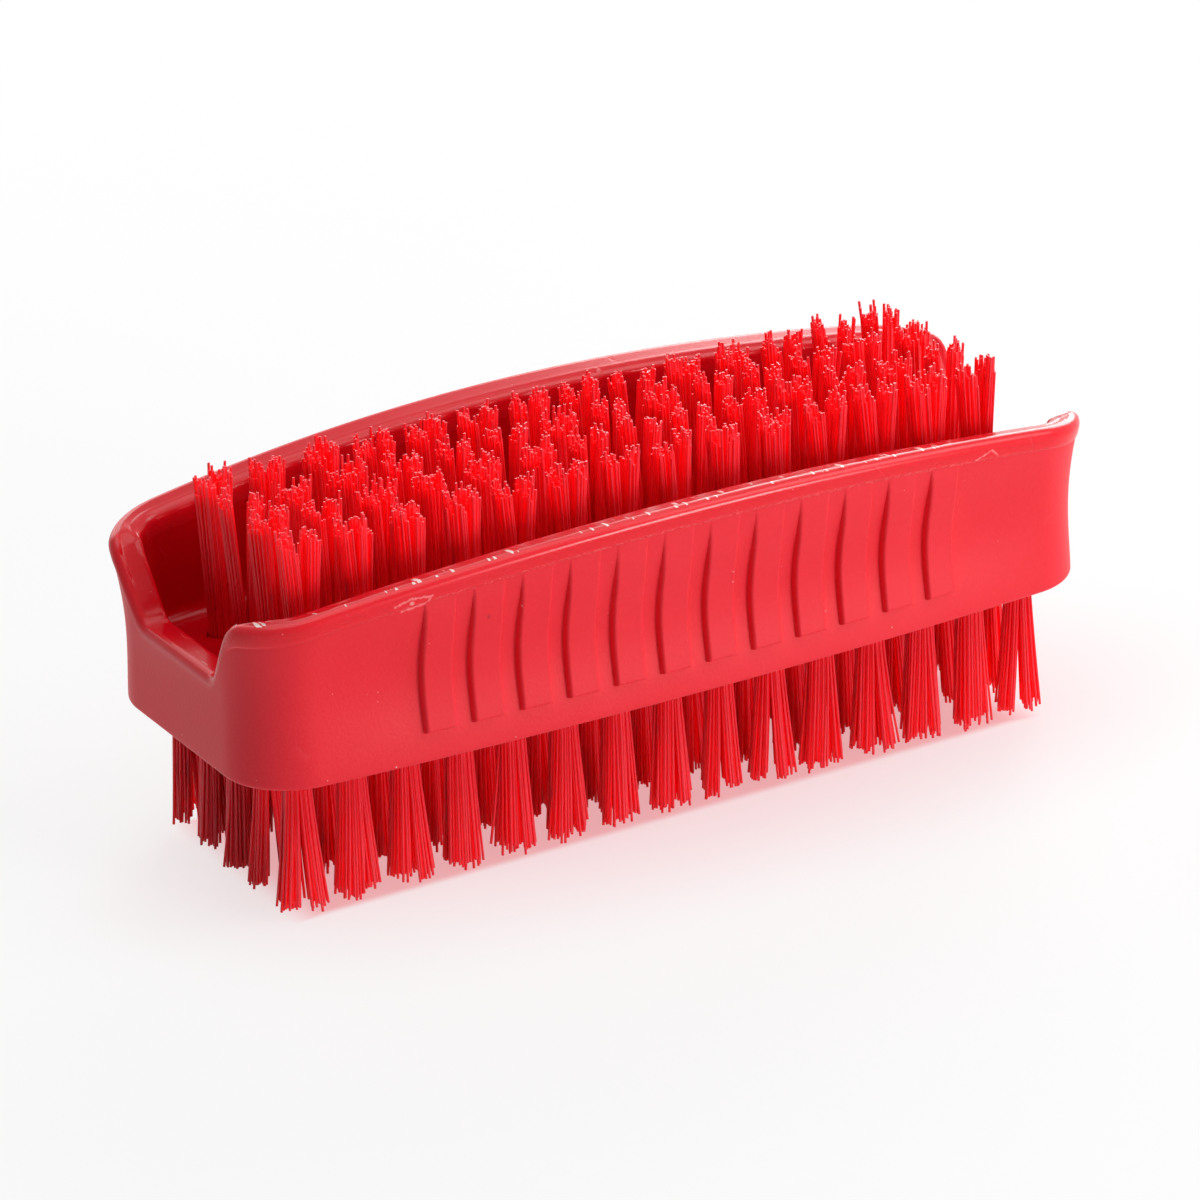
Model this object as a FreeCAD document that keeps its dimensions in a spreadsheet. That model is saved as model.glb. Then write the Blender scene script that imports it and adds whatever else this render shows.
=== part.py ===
import FreeCAD, Part
import math
import os
import Sketcher
from FreeCAD import Placement, Rotation, Vector

# Double-sided nail brush: a boat-shaped moulded block with tufts of bristle on both faces.
# X runs along the block, Y across it, Z up. The lower tufts stand on the plane Z = 0.

doc = FreeCAD.newDocument("nail_brush")

# Driving dimensions, in millimetres, and counts
driving_dimensions = [
    ("base_length", 116.3, "block length at its underside"),
    ("base_width", 44.6, "block width at its underside, at mid length"),
    ("side_bow", 2.6, "how far each long side bows outwards over its length"),
    ("corner_radius", 9.0, "plan radius of the block's corners at the underside"),
    ("lower_free_length", 18.5, "lower bristles, from underside to tips"),
    ("upper_free_length", 22.0, "upper bristles, from trough floor to tips"),
    ("floor_thickness", 7.5, "slab that holds both fields of tufts"),
    ("rim_rise_mid", 25.4, "rim above the underside at mid length"),
    ("rim_drop", 4.5, "how much lower the rim is at the ends than at mid length"),
    ("rim_flare", 2.3, "how far the wall leans out between underside and rim at mid length"),
    ("side_rim_width", 4.4, "width of the rim along the sides"),
    ("end_rim_width", 4.8, "width of the rim at the ends"),
    ("wall_draft", 0.6, "how much the trough narrows from its mouth to its floor"),
    ("trough_corner_radius", 4.6, "plan radius of the trough's corners at the mouth"),
    ("trough_floor_round", 1.5, "fillet between the trough's walls and floor"),
    ("bead_height", 2.3, "height of the bead that edges the rim"),
    ("bead_projection", 0.25, "how far the bead stands out from the wall"),
    ("rim_outer_round", 1.3, "rounding of the rim's outer edge"),
    ("rim_inner_round", 1.0, "rounding of the rim's inner edge"),
    ("underside_round", 0.6, "rounding of the block's lower edge"),
    ("sill_rise", 11.9, "sill of each end notch above the underside"),
    ("notch_sill_width", 18.0, "width of the notch at its sill"),
    ("notch_mouth_width", 30.4, "width of the notch level with the rim's ends"),
    ("notch_floor_round", 2.2, "rounding of the notch's lower corners"),
    ("rib_pitch", 6.28, "spacing of the grip ribs"),
    ("rib_margin", 19.0, "least length of plain wall between the block's end and the ribs"),
    ("rib_width", 4.1, "width of one grip rib"),
    ("rib_bottom", 3.8, "lower end of the ribs above the underside"),
    ("rib_height", 1.25, "how far a rib stands out at the waist of the wall"),
    ("tuft_pitch", 7.17, "spacing of the tufts both ways"),
    ("tuft_margin", 7.5, "least distance from a lower tuft's axis to the block's edge"),
    ("hole_diameter", 3.5, "blind tuft hole"),
    ("hole_floor", 2.0, "plastic left behind a blind tuft hole"),
    ("tuft_fit", 0.06, "clearance between a tuft's root and its hole"),
    ("tip_diameter", 5.3, "spread of a tuft at its tips"),
    ("strand_tip_diameter", 1.3, "one strand of bristles in a tuft, at its tips"),
    ("strand_root_diameter", 1.04, "the same strand where it leaves the root"),
    ("strand_inset", 0.08, "strands inside the packed root's edge, so that they leave through its end"),
    ("strand_root_depth", 0.5, "where the strands leave the packed root, below the hole's mouth"),
    ("anchor_width", 3.9, "flat metal anchor, across the hole"),
    ("anchor_thickness", 0.4, "flat metal anchor"),
    ("anchor_height", 1.9, "flat metal anchor, along the hole"),
    ("anchor_lift", 0.8, "folded bristles under the anchor"),
    ("anchor_fit", 0.05, "clearance round the anchor"),
    ("cut_overrun", 3.0, "how far cutting shapes run past what they cut"),
]

# Wall profile: each level is a share of the rim's rise at mid length, each lean a share of the flare
level_shares = (0.0, 0.17, 0.4, 0.59, 0.75, 0.87, 1.06)
lean_shares = (0.0, -0.07, -0.1, 0.08, 0.38, 0.66, 1.13)
# At the same levels the ribs' face stands out from the wall by these shares of the rib height
rib_stand_shares = (0.7, 0.85, 1.0, 0.9, 0.5, -0.15, -0.6)
# The trough follows the lean of the rim, which is less at the ends because the rim is lower there
end_lean_share = 0.6
side_lean_share = 1.0
trough_bow_share = 0.95
# Lengths of a tuft's strands, the middle one first; a share of 1 reaches the plane of the tips
strand_length_shares = (1.0, 0.965, 1.0, 0.94, 0.985, 1.0, 0.955)

# Sizes that follow from the driving ones
hole_depth = "(Dims.floor_thickness - Dims.hole_floor)"
rib_count = "floor((Dims.base_length - 2 * Dims.rib_margin) / Dims.rib_pitch)"
pitches_along = "floor((Dims.base_length - 2 * Dims.tuft_margin) / Dims.tuft_pitch)"
pitches_across = "floor((Dims.base_width - 2 * Dims.tuft_margin) / Dims.tuft_pitch)"

# Two places nearer to each other than this count as one, when edges are looked up
near = 1e-4

sheet = doc.addObject("Spreadsheet::Sheet", "Dims")
for sheet_row, (alias, value, note) in enumerate(driving_dimensions, start=1):
    sheet.set(f"A{sheet_row}", alias)
    sheet.set(f"B{sheet_row}", str(value))
    sheet.set(f"C{sheet_row}", note)
    sheet.setAlias(f"B{sheet_row}", alias)
doc.recompute()


def evaluate(expression):
    """Number that an expression on the sheet gives."""
    return float(sheet.evalExpression(expression))


def count(expression):
    """Whole number that an expression on the sheet gives."""
    return int(round(evaluate(expression)))


def bind(target, bindings):
    """Tie properties of an object to expressions on the sheet."""
    for path, expression in bindings.items():
        target.setExpression(path, expression)


def primitive(kind, name, bindings, rotation=Rotation()):
    """A Part primitive or copy whose sizes and place follow the sheet."""
    item = doc.addObject(kind, name)
    item.Placement = Placement(Vector(), rotation)
    bind(item, bindings)
    return item


def combine(kind, name, shapes):
    """A fusion or common of several shapes, or a compound of them."""
    item = doc.addObject(kind, name)
    if kind == "Part::Compound":
        item.Links = shapes
    else:
        item.Shapes = shapes
    return item


def cut(name, base, tool):
    """Base less tool."""
    item = doc.addObject("Part::Cut", name)
    item.Base = base
    item.Tool = tool
    return item


def round_edges(name, base, rounds):
    """Fillet on edges of a shape, given as lists of edge numbers and the alias of their radius."""
    item = doc.addObject("Part::Fillet", name)
    item.Base = base
    edges = []
    for numbers, alias in rounds:
        radius = evaluate(f"Dims.{alias}")
        edges += [(number, radius, radius) for number in numbers]
    item.Edges = edges
    return item


def edges_where(shape, test):
    """Numbers of the edges whose ends and middle all pass the test."""
    found = []
    for number, edge in enumerate(shape.Edges, start=1):
        first, last = edge.ParameterRange
        points = [edge.valueAt(value) for value in (first, (first + last) / 2, last)]
        if all(test(point) for point in points):
            found.append(number)
    return found


def edges_at_level(shape, level):
    """Numbers of the edges that lie flat at a level given as an expression."""
    height = evaluate(level)
    return edges_where(shape, lambda point: abs(point.z - height) < near)


# Plan outlines of the block, from which its walls and trough are lofted

def outline_sketch(name, half_length, half_width, bow, radius, level):
    """Closed plan outline: straight ends, long sides bowed on large arcs, round corners.

    The sizes are expressions, so that the outline follows every change in the sheet.
    """
    sketch = doc.addObject("Sketcher::SketchObject", name)
    reach, half, sagitta, corner_round = (evaluate(text) for text in (half_length, half_width, bow, radius))
    side_radius = (reach * reach + sagitta * sagitta) / (2 * sagitta)
    side_centre = half - side_radius
    corner_x = reach - corner_round
    corner_y = side_centre + math.sqrt((side_radius - corner_round) ** 2 - corner_x ** 2)
    meet = math.atan2(corner_y - side_centre, corner_x)

    def arc(centre_x, centre_y, arc_radius, start, end):
        circle = Part.Circle(Vector(centre_x, centre_y, 0), Vector(0, 0, 1), arc_radius)
        return Part.ArcOfCircle(circle, start, end)

    half_turn = math.pi
    full_turn = 2 * math.pi
    sketch.addGeometry([
        Part.LineSegment(Vector(reach, -corner_y, 0), Vector(reach, corner_y, 0)),
        arc(corner_x, corner_y, corner_round, 0, meet),
        arc(0, side_centre, side_radius, meet, half_turn - meet),
        arc(-corner_x, corner_y, corner_round, half_turn - meet, half_turn),
        Part.LineSegment(Vector(-reach, corner_y, 0), Vector(-reach, -corner_y, 0)),
        arc(-corner_x, -corner_y, corner_round, half_turn, half_turn + meet),
        arc(0, -side_centre, side_radius, half_turn + meet, full_turn - meet),
        arc(corner_x, -corner_y, corner_round, full_turn - meet, full_turn),
    ], False)
    right, corner, far_side, left, near_side = 0, 1, 2, 4, 6
    edge_count = 8
    for edge in range(edge_count):
        sketch.addConstraint(Sketcher.Constraint("Tangent", edge, 2, (edge + 1) % edge_count, 1))
    for end in (right, left):
        sketch.addConstraint(Sketcher.Constraint("Vertical", end))
    for other_corner in (3, 5, 7):
        sketch.addConstraint(Sketcher.Constraint("Equal", corner, other_corner))
    sketch.addConstraint(Sketcher.Constraint("Equal", far_side, near_side))
    sketch.addConstraint(Sketcher.Constraint("Symmetric", far_side, 3, near_side, 3, -1, 1))
    sketch.addConstraint(Sketcher.Constraint("PointOnObject", far_side, 3, -2))
    side_text = f"(({half_length}) ^ 2 + ({bow}) ^ 2) / (2 * ({bow}))"
    driven = (
        ("right_end", ("DistanceX", -1, 1, right, 1, reach), half_length),
        ("left_end", ("DistanceX", left, 1, -1, 1, reach), half_length),
        ("corner", ("Radius", corner, corner_round), radius),
        ("long_side", ("Radius", far_side, side_radius), side_text),
        ("side_centre", ("DistanceY", far_side, 3, -1, 1, -side_centre), f"{side_text} - ({half_width})"),
    )
    for label, arguments, text in driven:
        number = sketch.addConstraint(Sketcher.Constraint(*arguments))
        sketch.renameConstraint(number, label)
        sketch.setExpression(f"Constraints.{label}", text)
    bind(sketch, {"Placement.Base.z": level})
    return sketch


def wall_loft(name, stand_texts):
    """Solid inside the outer wall, which stands out from the plain wall by the given sizes."""
    sections = []
    for number, (level, lean, stand) in enumerate(zip(level_shares, lean_shares, stand_texts), start=1):
        lean_text = f"Dims.rim_flare * {lean}"
        sections.append(outline_sketch(
            f"{name}_section_{number}",
            f"Dims.base_length / 2 + {lean_text} + {stand}",
            f"Dims.base_width / 2 + {lean_text} + {stand}",
            "Dims.side_bow",
            f"Dims.corner_radius + {lean_text} + {stand}",
            f"Dims.lower_free_length + Dims.rim_rise_mid * {level}",
        ))
    loft = doc.addObject("Part::Loft", name)
    loft.Sections = sections
    loft.Solid = True
    return loft


def trough_loft():
    """Solid that fills the trough, from its floor to above the rim."""
    floor_level = "Dims.lower_free_length + Dims.floor_thickness"
    mouth_level = "Dims.lower_free_length + Dims.rim_rise_mid + Dims.cut_overrun"
    sections = []
    for name, draft, level in (("floor", "Dims.wall_draft", floor_level), ("mouth", "0", mouth_level)):
        sections.append(outline_sketch(
            f"trough_{name}",
            f"Dims.base_length / 2 + Dims.rim_flare * {end_lean_share} - Dims.end_rim_width - {draft}",
            f"Dims.base_width / 2 + Dims.rim_flare * {side_lean_share} - Dims.side_rim_width - {draft}",
            f"Dims.side_bow * {trough_bow_share}",
            f"Dims.trough_corner_radius - {draft}",
            level,
        ))
    loft = doc.addObject("Part::Loft", "trough_loft")
    loft.Sections = sections
    loft.Solid = True
    doc.recompute()
    return round_edges("trough", loft, [(edges_at_level(loft.Shape, floor_level), "trough_floor_round")])


# The block: walls, ribs and bead, less the trough, the notches and the tuft holes

def arch_cylinder(name, lowered_by):
    """Cylinder along Y whose top is the arch of the rim, lowered by a size."""
    arch_radius = "((Dims.base_length / 2) ^ 2 + Dims.rim_drop ^ 2) / (2 * Dims.rim_drop)"
    across = "(Dims.base_width + 2 * Dims.rim_flare + 2 * Dims.cut_overrun)"
    return primitive("Part::Cylinder", name, {
        "Radius": f"{arch_radius} - {lowered_by}",
        "Height": across,
        "Placement.Base.y": f"{across} / 2",
        "Placement.Base.z": f"Dims.lower_free_length + Dims.rim_rise_mid - {arch_radius}",
    }, Rotation(Vector(1, 0, 0), 90))


def rib_comb():
    """Upright slabs across the block, one for each pair of ribs."""
    slabs = []
    for number in range(count(rib_count)):
        slabs.append(primitive("Part::Box", f"rib_slab_{number + 1}", {
            "Length": "Dims.rib_width",
            "Width": "Dims.base_width + 4 * Dims.cut_overrun",
            "Height": "Dims.rim_rise_mid + Dims.cut_overrun",
            "Placement.Base.x": f"({number} - ({rib_count} - 1) / 2) * Dims.rib_pitch - Dims.rib_width / 2",
            "Placement.Base.y": "-Dims.base_width / 2 - 2 * Dims.cut_overrun",
            "Placement.Base.z": "Dims.lower_free_length + Dims.rib_bottom",
        }))
    return combine("Part::Compound", "rib_comb", slabs)


def notch_tool():
    """Bar along the block whose section is the notch, cut from both end walls at once."""
    sketch = doc.addObject("Sketcher::SketchObject", "notch_section")
    sketch.Placement = Placement(Vector(), Rotation(Vector(1, 1, 1), 120))
    sill = "Dims.lower_free_length + Dims.sill_rise"
    side_rise = "(Dims.rim_rise_mid + Dims.cut_overrun - Dims.sill_rise)"
    end_rise = "(Dims.rim_rise_mid - Dims.rim_drop - Dims.sill_rise)"
    slope = f"(Dims.notch_mouth_width - Dims.notch_sill_width) / {end_rise}"
    top_width = f"Dims.notch_sill_width + {slope} * {side_rise}"
    half_sill = evaluate("Dims.notch_sill_width / 2")
    half_top = evaluate(f"({top_width}) / 2")
    low = evaluate(sill)
    high = evaluate(f"{sill} + {side_rise}")
    corners = (Vector(-half_sill, low, 0), Vector(half_sill, low, 0), Vector(half_top, high, 0),
               Vector(-half_top, high, 0))
    for start, end in zip(corners, corners[1:] + corners[:1]):
        sketch.addGeometry(Part.LineSegment(start, end), False)
    for edge in range(4):
        sketch.addConstraint(Sketcher.Constraint("Coincident", edge, 2, (edge + 1) % 4, 1))
    sketch.addConstraint(Sketcher.Constraint("Symmetric", 0, 1, 0, 2, -2))
    sketch.addConstraint(Sketcher.Constraint("Symmetric", 2, 1, 2, 2, -2))
    driven = (
        ("sill_width", ("DistanceX", 0, 1, 0, 2, 2 * half_sill), "Dims.notch_sill_width"),
        ("top_width", ("DistanceX", 2, 2, 2, 1, 2 * half_top), top_width),
        ("sill_level", ("DistanceY", -1, 1, 0, 1, low), sill),
        ("top_level", ("DistanceY", -1, 1, 2, 2, high), f"{sill} + {side_rise}"),
    )
    for label, arguments, text in driven:
        number = sketch.addConstraint(Sketcher.Constraint(*arguments))
        sketch.renameConstraint(number, label)
        sketch.setExpression(f"Constraints.{label}", text)
    bar = doc.addObject("Part::Extrusion", "notch_bar")
    bar.Base = sketch
    bar.DirMode = "Normal"
    bar.Symmetric = True
    bar.Solid = True
    bind(bar, {"LengthFwd": "Dims.base_length + 2 * Dims.rim_flare + 2 * Dims.cut_overrun"})
    doc.recompute()
    sill_corners = edges_where(bar.Shape, lambda point: abs(point.z - low) < near
                               and abs(abs(point.y) - half_sill) < near)
    return round_edges("notch", bar, [(sill_corners, "notch_floor_round")])


def hole_tool():
    """Tuft hole with the slot that the anchor cuts as it is driven in; the mouth is at Z = 0."""
    hole = primitive("Part::Cylinder", "tuft_hole", {
        "Radius": "Dims.hole_diameter / 2",
        "Height": f"{hole_depth} + Dims.cut_overrun",
        "Placement.Base.z": f"-{hole_depth}",
    })
    slot = primitive("Part::Box", "anchor_slot", {
        "Length": "Dims.anchor_width + 2 * Dims.anchor_fit",
        "Width": "Dims.anchor_thickness + 2 * Dims.anchor_fit",
        "Height": f"{hole_depth} - Dims.anchor_lift + Dims.anchor_fit + Dims.cut_overrun",
        "Placement.Base.x": "-Dims.anchor_width / 2 - Dims.anchor_fit",
        "Placement.Base.y": "-Dims.anchor_thickness / 2 - Dims.anchor_fit",
        "Placement.Base.z": f"-{hole_depth} + Dims.anchor_lift - Dims.anchor_fit",
    })
    return combine("Part::MultiFuse", "hole_tool", [hole, slot])


# The two fields of tufts. Each is a square grid, as large as the block has room for. The upper one has
# one line less each way, so that it stands half a pitch over and the blind holes of the two fields pass
# between each other.
fields = {
    "lower": {
        "mouth": "Dims.lower_free_length",
        "turn": Rotation(Vector(1, 0, 0), 180),
        "columns": f"({pitches_along} + 1)",
        "rows": f"({pitches_across} + 1)",
    },
    "upper": {
        "mouth": "Dims.lower_free_length + Dims.floor_thickness",
        "turn": Rotation(),
        "columns": pitches_along,
        "rows": pitches_across,
    },
}


def place_on_grid(master, label, field, column, row):
    """Copy of a shape at one place of a field, every other one turned half round."""
    spot = fields[field]
    twist = Rotation(Vector(0, 0, 1), 180 * ((column + row) % 2))
    copy = doc.addObject("App::Link", f"{field}_{label}_{column + 1}_{row + 1}")
    copy.LinkedObject = master
    copy.LinkTransform = True
    copy.Placement = Placement(Vector(), spot["turn"] * twist)
    bind(copy, {
        "Placement.Base.x": f"({column} - ({spot['columns']} - 1) / 2) * Dims.tuft_pitch",
        "Placement.Base.y": f"({row} - ({spot['rows']} - 1) / 2) * Dims.tuft_pitch",
        "Placement.Base.z": spot["mouth"],
    })
    return copy


def grid_line(master, label, field, column):
    """One line of copies across the block, as one object of separate solids."""
    rows = count(fields[field]["rows"])
    copies = [place_on_grid(master, label, field, column, row) for row in range(rows)]
    return combine("Part::Compound", f"{field}_{label}s_{column + 1:02d}", copies)


def brush_block():
    """The moulded block."""
    no_stand = ["0"] * len(level_shares)
    bead_stand = ["Dims.bead_projection"] * len(level_shares)
    rib_stand = [f"Dims.rib_height * {share}" for share in rib_stand_shares]
    plain_walls = wall_loft("plain_walls", no_stand)
    doc.recompute()
    lower_edge = edges_at_level(plain_walls.Shape, "Dims.lower_free_length")
    walls = round_edges("walls", plain_walls, [(lower_edge, "underside_round")])
    rib_face = wall_loft("rib_face", rib_stand)
    bead_face = wall_loft("bead_face", bead_stand)
    ribs = combine("Part::MultiCommon", "ribs", [rib_face, rib_comb()])
    ribbed = combine("Part::MultiFuse", "ribbed_walls", [walls, ribs])
    below_rim = combine("Part::MultiCommon", "walls_below_rim", [ribbed, arch_cylinder("rim_arch", "0")])
    capped_bead = combine("Part::MultiCommon", "bead_below_rim", [bead_face, arch_cylinder("bead_arch", "0")])
    bead = cut("bead", capped_bead, arch_cylinder("bead_foot", "Dims.bead_height"))
    hull = combine("Part::MultiFuse", "hull", [below_rim, bead])
    trough = trough_loft()
    shell = cut("shell", hull, trough)
    doc.recompute()
    rounded = rounded_rim(shell, trough)
    notched = cut("notched_shell", rounded, notch_tool())
    tool = hole_tool()
    holes = []
    for field in fields:
        for column in range(count(fields[field]["columns"])):
            holes.append(grid_line(tool, "hole", field, column))
    return cut("brush_block", notched, combine("Part::Compound", "tuft_holes", holes))


def rounded_rim(shell, trough):
    """Shell with the rim's outer and inner edges rounded."""
    arch = doc.getObject("rim_arch")
    axis_height = arch.Placement.Base.z
    on_arch = edges_where(shell.Shape, lambda point: abs(
        math.hypot(point.x, point.z - axis_height) - arch.Radius.Value) < near)
    inner = []
    outer = []
    for number in on_arch:
        edge = shell.Shape.Edges[number - 1]
        first, last = edge.ParameterRange
        middle = Part.Vertex(edge.valueAt((first + last) / 2))
        ring = inner if trough.Shape.distToShape(middle)[0] < near else outer
        ring.append(number)
    return round_edges("rounded_rim", shell, [(outer, "rim_outer_round"), (inner, "rim_inner_round")])


# One tuft and its anchor, standing up from a hole's mouth at Z = 0

def tuft(field):
    """Bristles folded into a packed root, whose strands lean outwards up to uneven tips."""
    free_length = f"Dims.{field}_free_length"
    run = f"({free_length} + Dims.strand_root_depth)"
    root_ring = "(Dims.hole_diameter / 2 - Dims.tuft_fit - Dims.strand_inset - Dims.strand_root_diameter / 2)"
    tip_ring = "(Dims.tip_diameter / 2 - Dims.strand_tip_diameter / 2)"
    root = primitive("Part::Cylinder", f"{field}_tuft_root", {
        "Radius": "Dims.hole_diameter / 2 - Dims.tuft_fit",
        "Height": f"{hole_depth} - Dims.tuft_fit",
        "Placement.Base.z": f"-{hole_depth} + Dims.tuft_fit",
    })
    parts = [root]
    ring_count = len(strand_length_shares) - 1
    for number, length_share in enumerate(strand_length_shares):
        angle = 2 * math.pi * number / ring_count
        in_ring = 1 if number else 0
        lean = math.degrees(math.atan(in_ring * evaluate(f"({tip_ring} - {root_ring}) / {run}")))
        rotation = Rotation(Vector(-math.sin(angle), math.cos(angle), 0), lean)
        past_tips = "Dims.cut_overrun" if length_share == 1 else "0"
        parts.append(primitive("Part::Cone", f"{field}_strand_{number + 1}", {
            "Radius1": "Dims.strand_root_diameter / 2",
            "Radius2": "Dims.strand_tip_diameter / 2",
            "Height": f"{run} * {length_share} + {past_tips}",
            "Placement.Base.x": f"{root_ring} * {in_ring * math.cos(angle)}",
            "Placement.Base.y": f"{root_ring} * {in_ring * math.sin(angle)}",
            "Placement.Base.z": "-Dims.strand_root_depth",
        }, rotation))
    bundle = combine("Part::MultiFuse", f"{field}_bundle", parts)
    tip_trim = primitive("Part::Cylinder", f"{field}_tip_trim", {
        "Radius": "Dims.tip_diameter",
        "Height": "2 * Dims.cut_overrun",
        "Placement.Base.z": free_length,
    })
    slit = primitive("Part::Box", f"{field}_slit", {
        "Length": "Dims.anchor_width + 2 * Dims.anchor_fit",
        "Width": "Dims.anchor_thickness + 2 * Dims.anchor_fit",
        "Height": "Dims.anchor_height + 2 * Dims.anchor_fit",
        "Placement.Base.x": "-Dims.anchor_width / 2 - Dims.anchor_fit",
        "Placement.Base.y": "-Dims.anchor_thickness / 2 - Dims.anchor_fit",
        "Placement.Base.z": f"-{hole_depth} + Dims.anchor_lift - Dims.anchor_fit",
    })
    return cut(f"{field}_tuft_form", bundle, combine("Part::Compound", f"{field}_tuft_cuts", [tip_trim, slit]))


def anchor():
    """Flat metal anchor that holds a folded tuft at the bottom of its hole."""
    return primitive("Part::Box", "anchor_form", {
        "Length": "Dims.anchor_width",
        "Width": "Dims.anchor_thickness",
        "Height": "Dims.anchor_height",
        "Placement.Base.x": "-Dims.anchor_width / 2",
        "Placement.Base.y": "-Dims.anchor_thickness / 2",
        "Placement.Base.z": f"-{hole_depth} + Dims.anchor_lift",
    })


sub_parts = [brush_block()]
anchor_form = anchor()
for field_name in fields:
    tuft_form = tuft(field_name)
    for column_number in range(count(fields[field_name]["columns"])):
        sub_parts.append(grid_line(tuft_form, "tuft", field_name, column_number))
        sub_parts.append(grid_line(anchor_form, "anchor", field_name, column_number))
doc.recompute()

# Nothing is written unless every object is sound
faults = [item.Name for item in doc.Objects if {"Invalid", "Error"} & set(item.State)]
faults += [item.Label for item in sub_parts if item.Shape.isNull() or not item.Shape.isValid()]
if faults:
    raise RuntimeError("unsound objects: " + ", ".join(faults))

os.makedirs("parts", exist_ok=True)
for item in sub_parts:
    item.Shape.exportStep(f"parts/{item.Label}.step")
whole = Part.makeCompound([item.Shape for item in sub_parts])
box = whole.optimalBoundingBox(False)
print("nodes", len(sub_parts), "solids", len(whole.Solids))
print("size", round(box.XLength, 2), round(box.YLength, 2), round(box.ZLength, 2), "lowest", round(box.ZMin, 4))
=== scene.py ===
import math

import bmesh
import bpy
import numpy as np
from mathutils import Matrix, Vector
from mathutils.geometry import delaunay_2d_cdt


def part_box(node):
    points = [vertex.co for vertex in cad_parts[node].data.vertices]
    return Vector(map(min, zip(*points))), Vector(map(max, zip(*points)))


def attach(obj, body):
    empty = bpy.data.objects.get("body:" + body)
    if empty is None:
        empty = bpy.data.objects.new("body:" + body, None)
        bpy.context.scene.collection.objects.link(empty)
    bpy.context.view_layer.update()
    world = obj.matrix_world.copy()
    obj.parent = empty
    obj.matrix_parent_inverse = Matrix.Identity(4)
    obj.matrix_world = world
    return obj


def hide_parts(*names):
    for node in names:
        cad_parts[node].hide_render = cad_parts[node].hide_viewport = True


# Double-sided nail brush: a moulded block with bristles on both faces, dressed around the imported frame.
# Everything is in metres. X runs along the block, Y across it, Z up.

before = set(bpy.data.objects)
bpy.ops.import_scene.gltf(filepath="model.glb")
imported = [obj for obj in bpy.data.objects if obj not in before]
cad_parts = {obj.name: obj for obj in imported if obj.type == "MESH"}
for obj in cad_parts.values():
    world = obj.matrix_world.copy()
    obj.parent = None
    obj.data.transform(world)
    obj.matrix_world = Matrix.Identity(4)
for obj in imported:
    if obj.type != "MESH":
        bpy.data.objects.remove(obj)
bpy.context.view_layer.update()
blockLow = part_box("brush_block")[0]
mm = 0.001
print("frame loaded:", len(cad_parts), "nodes")


# Small helpers for node trees

def addNode(tree, kind, **settings):
    node = tree.nodes.new(kind)
    for name, value in settings.items():
        setattr(node, name, value)
    return node


def feed(tree, socket, value):
    # a socket is fed by another socket, or set to a plain value
    if isinstance(value, bpy.types.NodeSocket):
        tree.links.new(value, socket)
    else:
        socket.default_value = value


def calc(tree, operation, *values, clamp=False):
    node = addNode(tree, "ShaderNodeMath", operation=operation, use_clamp=clamp)
    for socket, value in zip(node.inputs, values):
        feed(tree, socket, value)
    return node.outputs[0]


def calcVector(tree, operation, *values):
    node = addNode(tree, "ShaderNodeVectorMath", operation=operation)
    for socket, value in zip(node.inputs, values):
        feed(tree, socket, value)
    return node.outputs["Value" if operation in ("LENGTH", "DOT_PRODUCT", "DISTANCE") else "Vector"]


def scaled(tree, vector, factor):
    node = addNode(tree, "ShaderNodeVectorMath", operation="SCALE")
    feed(tree, node.inputs[0], vector)
    feed(tree, node.inputs["Scale"], factor)
    return node.outputs["Vector"]


def remap(tree, value, fromLow, fromHigh, toLow=0.0, toHigh=1.0, smooth=True):
    node = addNode(tree, "ShaderNodeMapRange", interpolation_type="SMOOTHSTEP" if smooth else "LINEAR")
    for socket, number in zip(node.inputs, (value, fromLow, fromHigh, toLow, toHigh)):
        feed(tree, socket, number)
    return node.outputs[0]


def mixColour(tree, factor, first, second, blend="MIX"):
    node = addNode(tree, "ShaderNodeMix", data_type="RGBA", blend_type=blend)
    feed(tree, node.inputs["Factor"], factor)
    for socket, colour in zip([s for s in node.inputs if s.type == "RGBA"], (first, second)):
        feed(tree, socket, colour)
    return [s for s in node.outputs if s.type == "RGBA"][0]


def startGroup(name, kind, inputs, outputs):
    # a node group with named inputs and outputs; each input is (name, socket type, value)
    tree = bpy.data.node_groups.new(name, kind)
    for label, socketType, value in inputs:
        socket = tree.interface.new_socket(label, in_out="INPUT", socket_type=socketType)
        if value is not None:
            socket.default_value = value
    for label, socketType in outputs:
        tree.interface.new_socket(label, in_out="OUTPUT", socket_type=socketType)
    return tree, addNode(tree, "NodeGroupInput"), addNode(tree, "NodeGroupOutput")


def placeGroup(tree, group, **values):
    # names with spaces are given with underscores
    node = addNode(tree, "ShaderNodeGroup", node_tree=group)
    for name, value in values.items():
        feed(tree, node.inputs[name.replace("_", " ")], value)
    return node


def startMaterial(name):
    material = bpy.data.materials.new(name)
    material.use_nodes = True
    tree = material.node_tree
    tree.nodes.clear()
    shader = addNode(tree, "ShaderNodeBsdfPrincipled")
    output = addNode(tree, "ShaderNodeOutputMaterial")
    tree.links.new(shader.outputs["BSDF"], output.inputs["Surface"])
    return material, tree, shader


# Effects that several materials share

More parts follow.
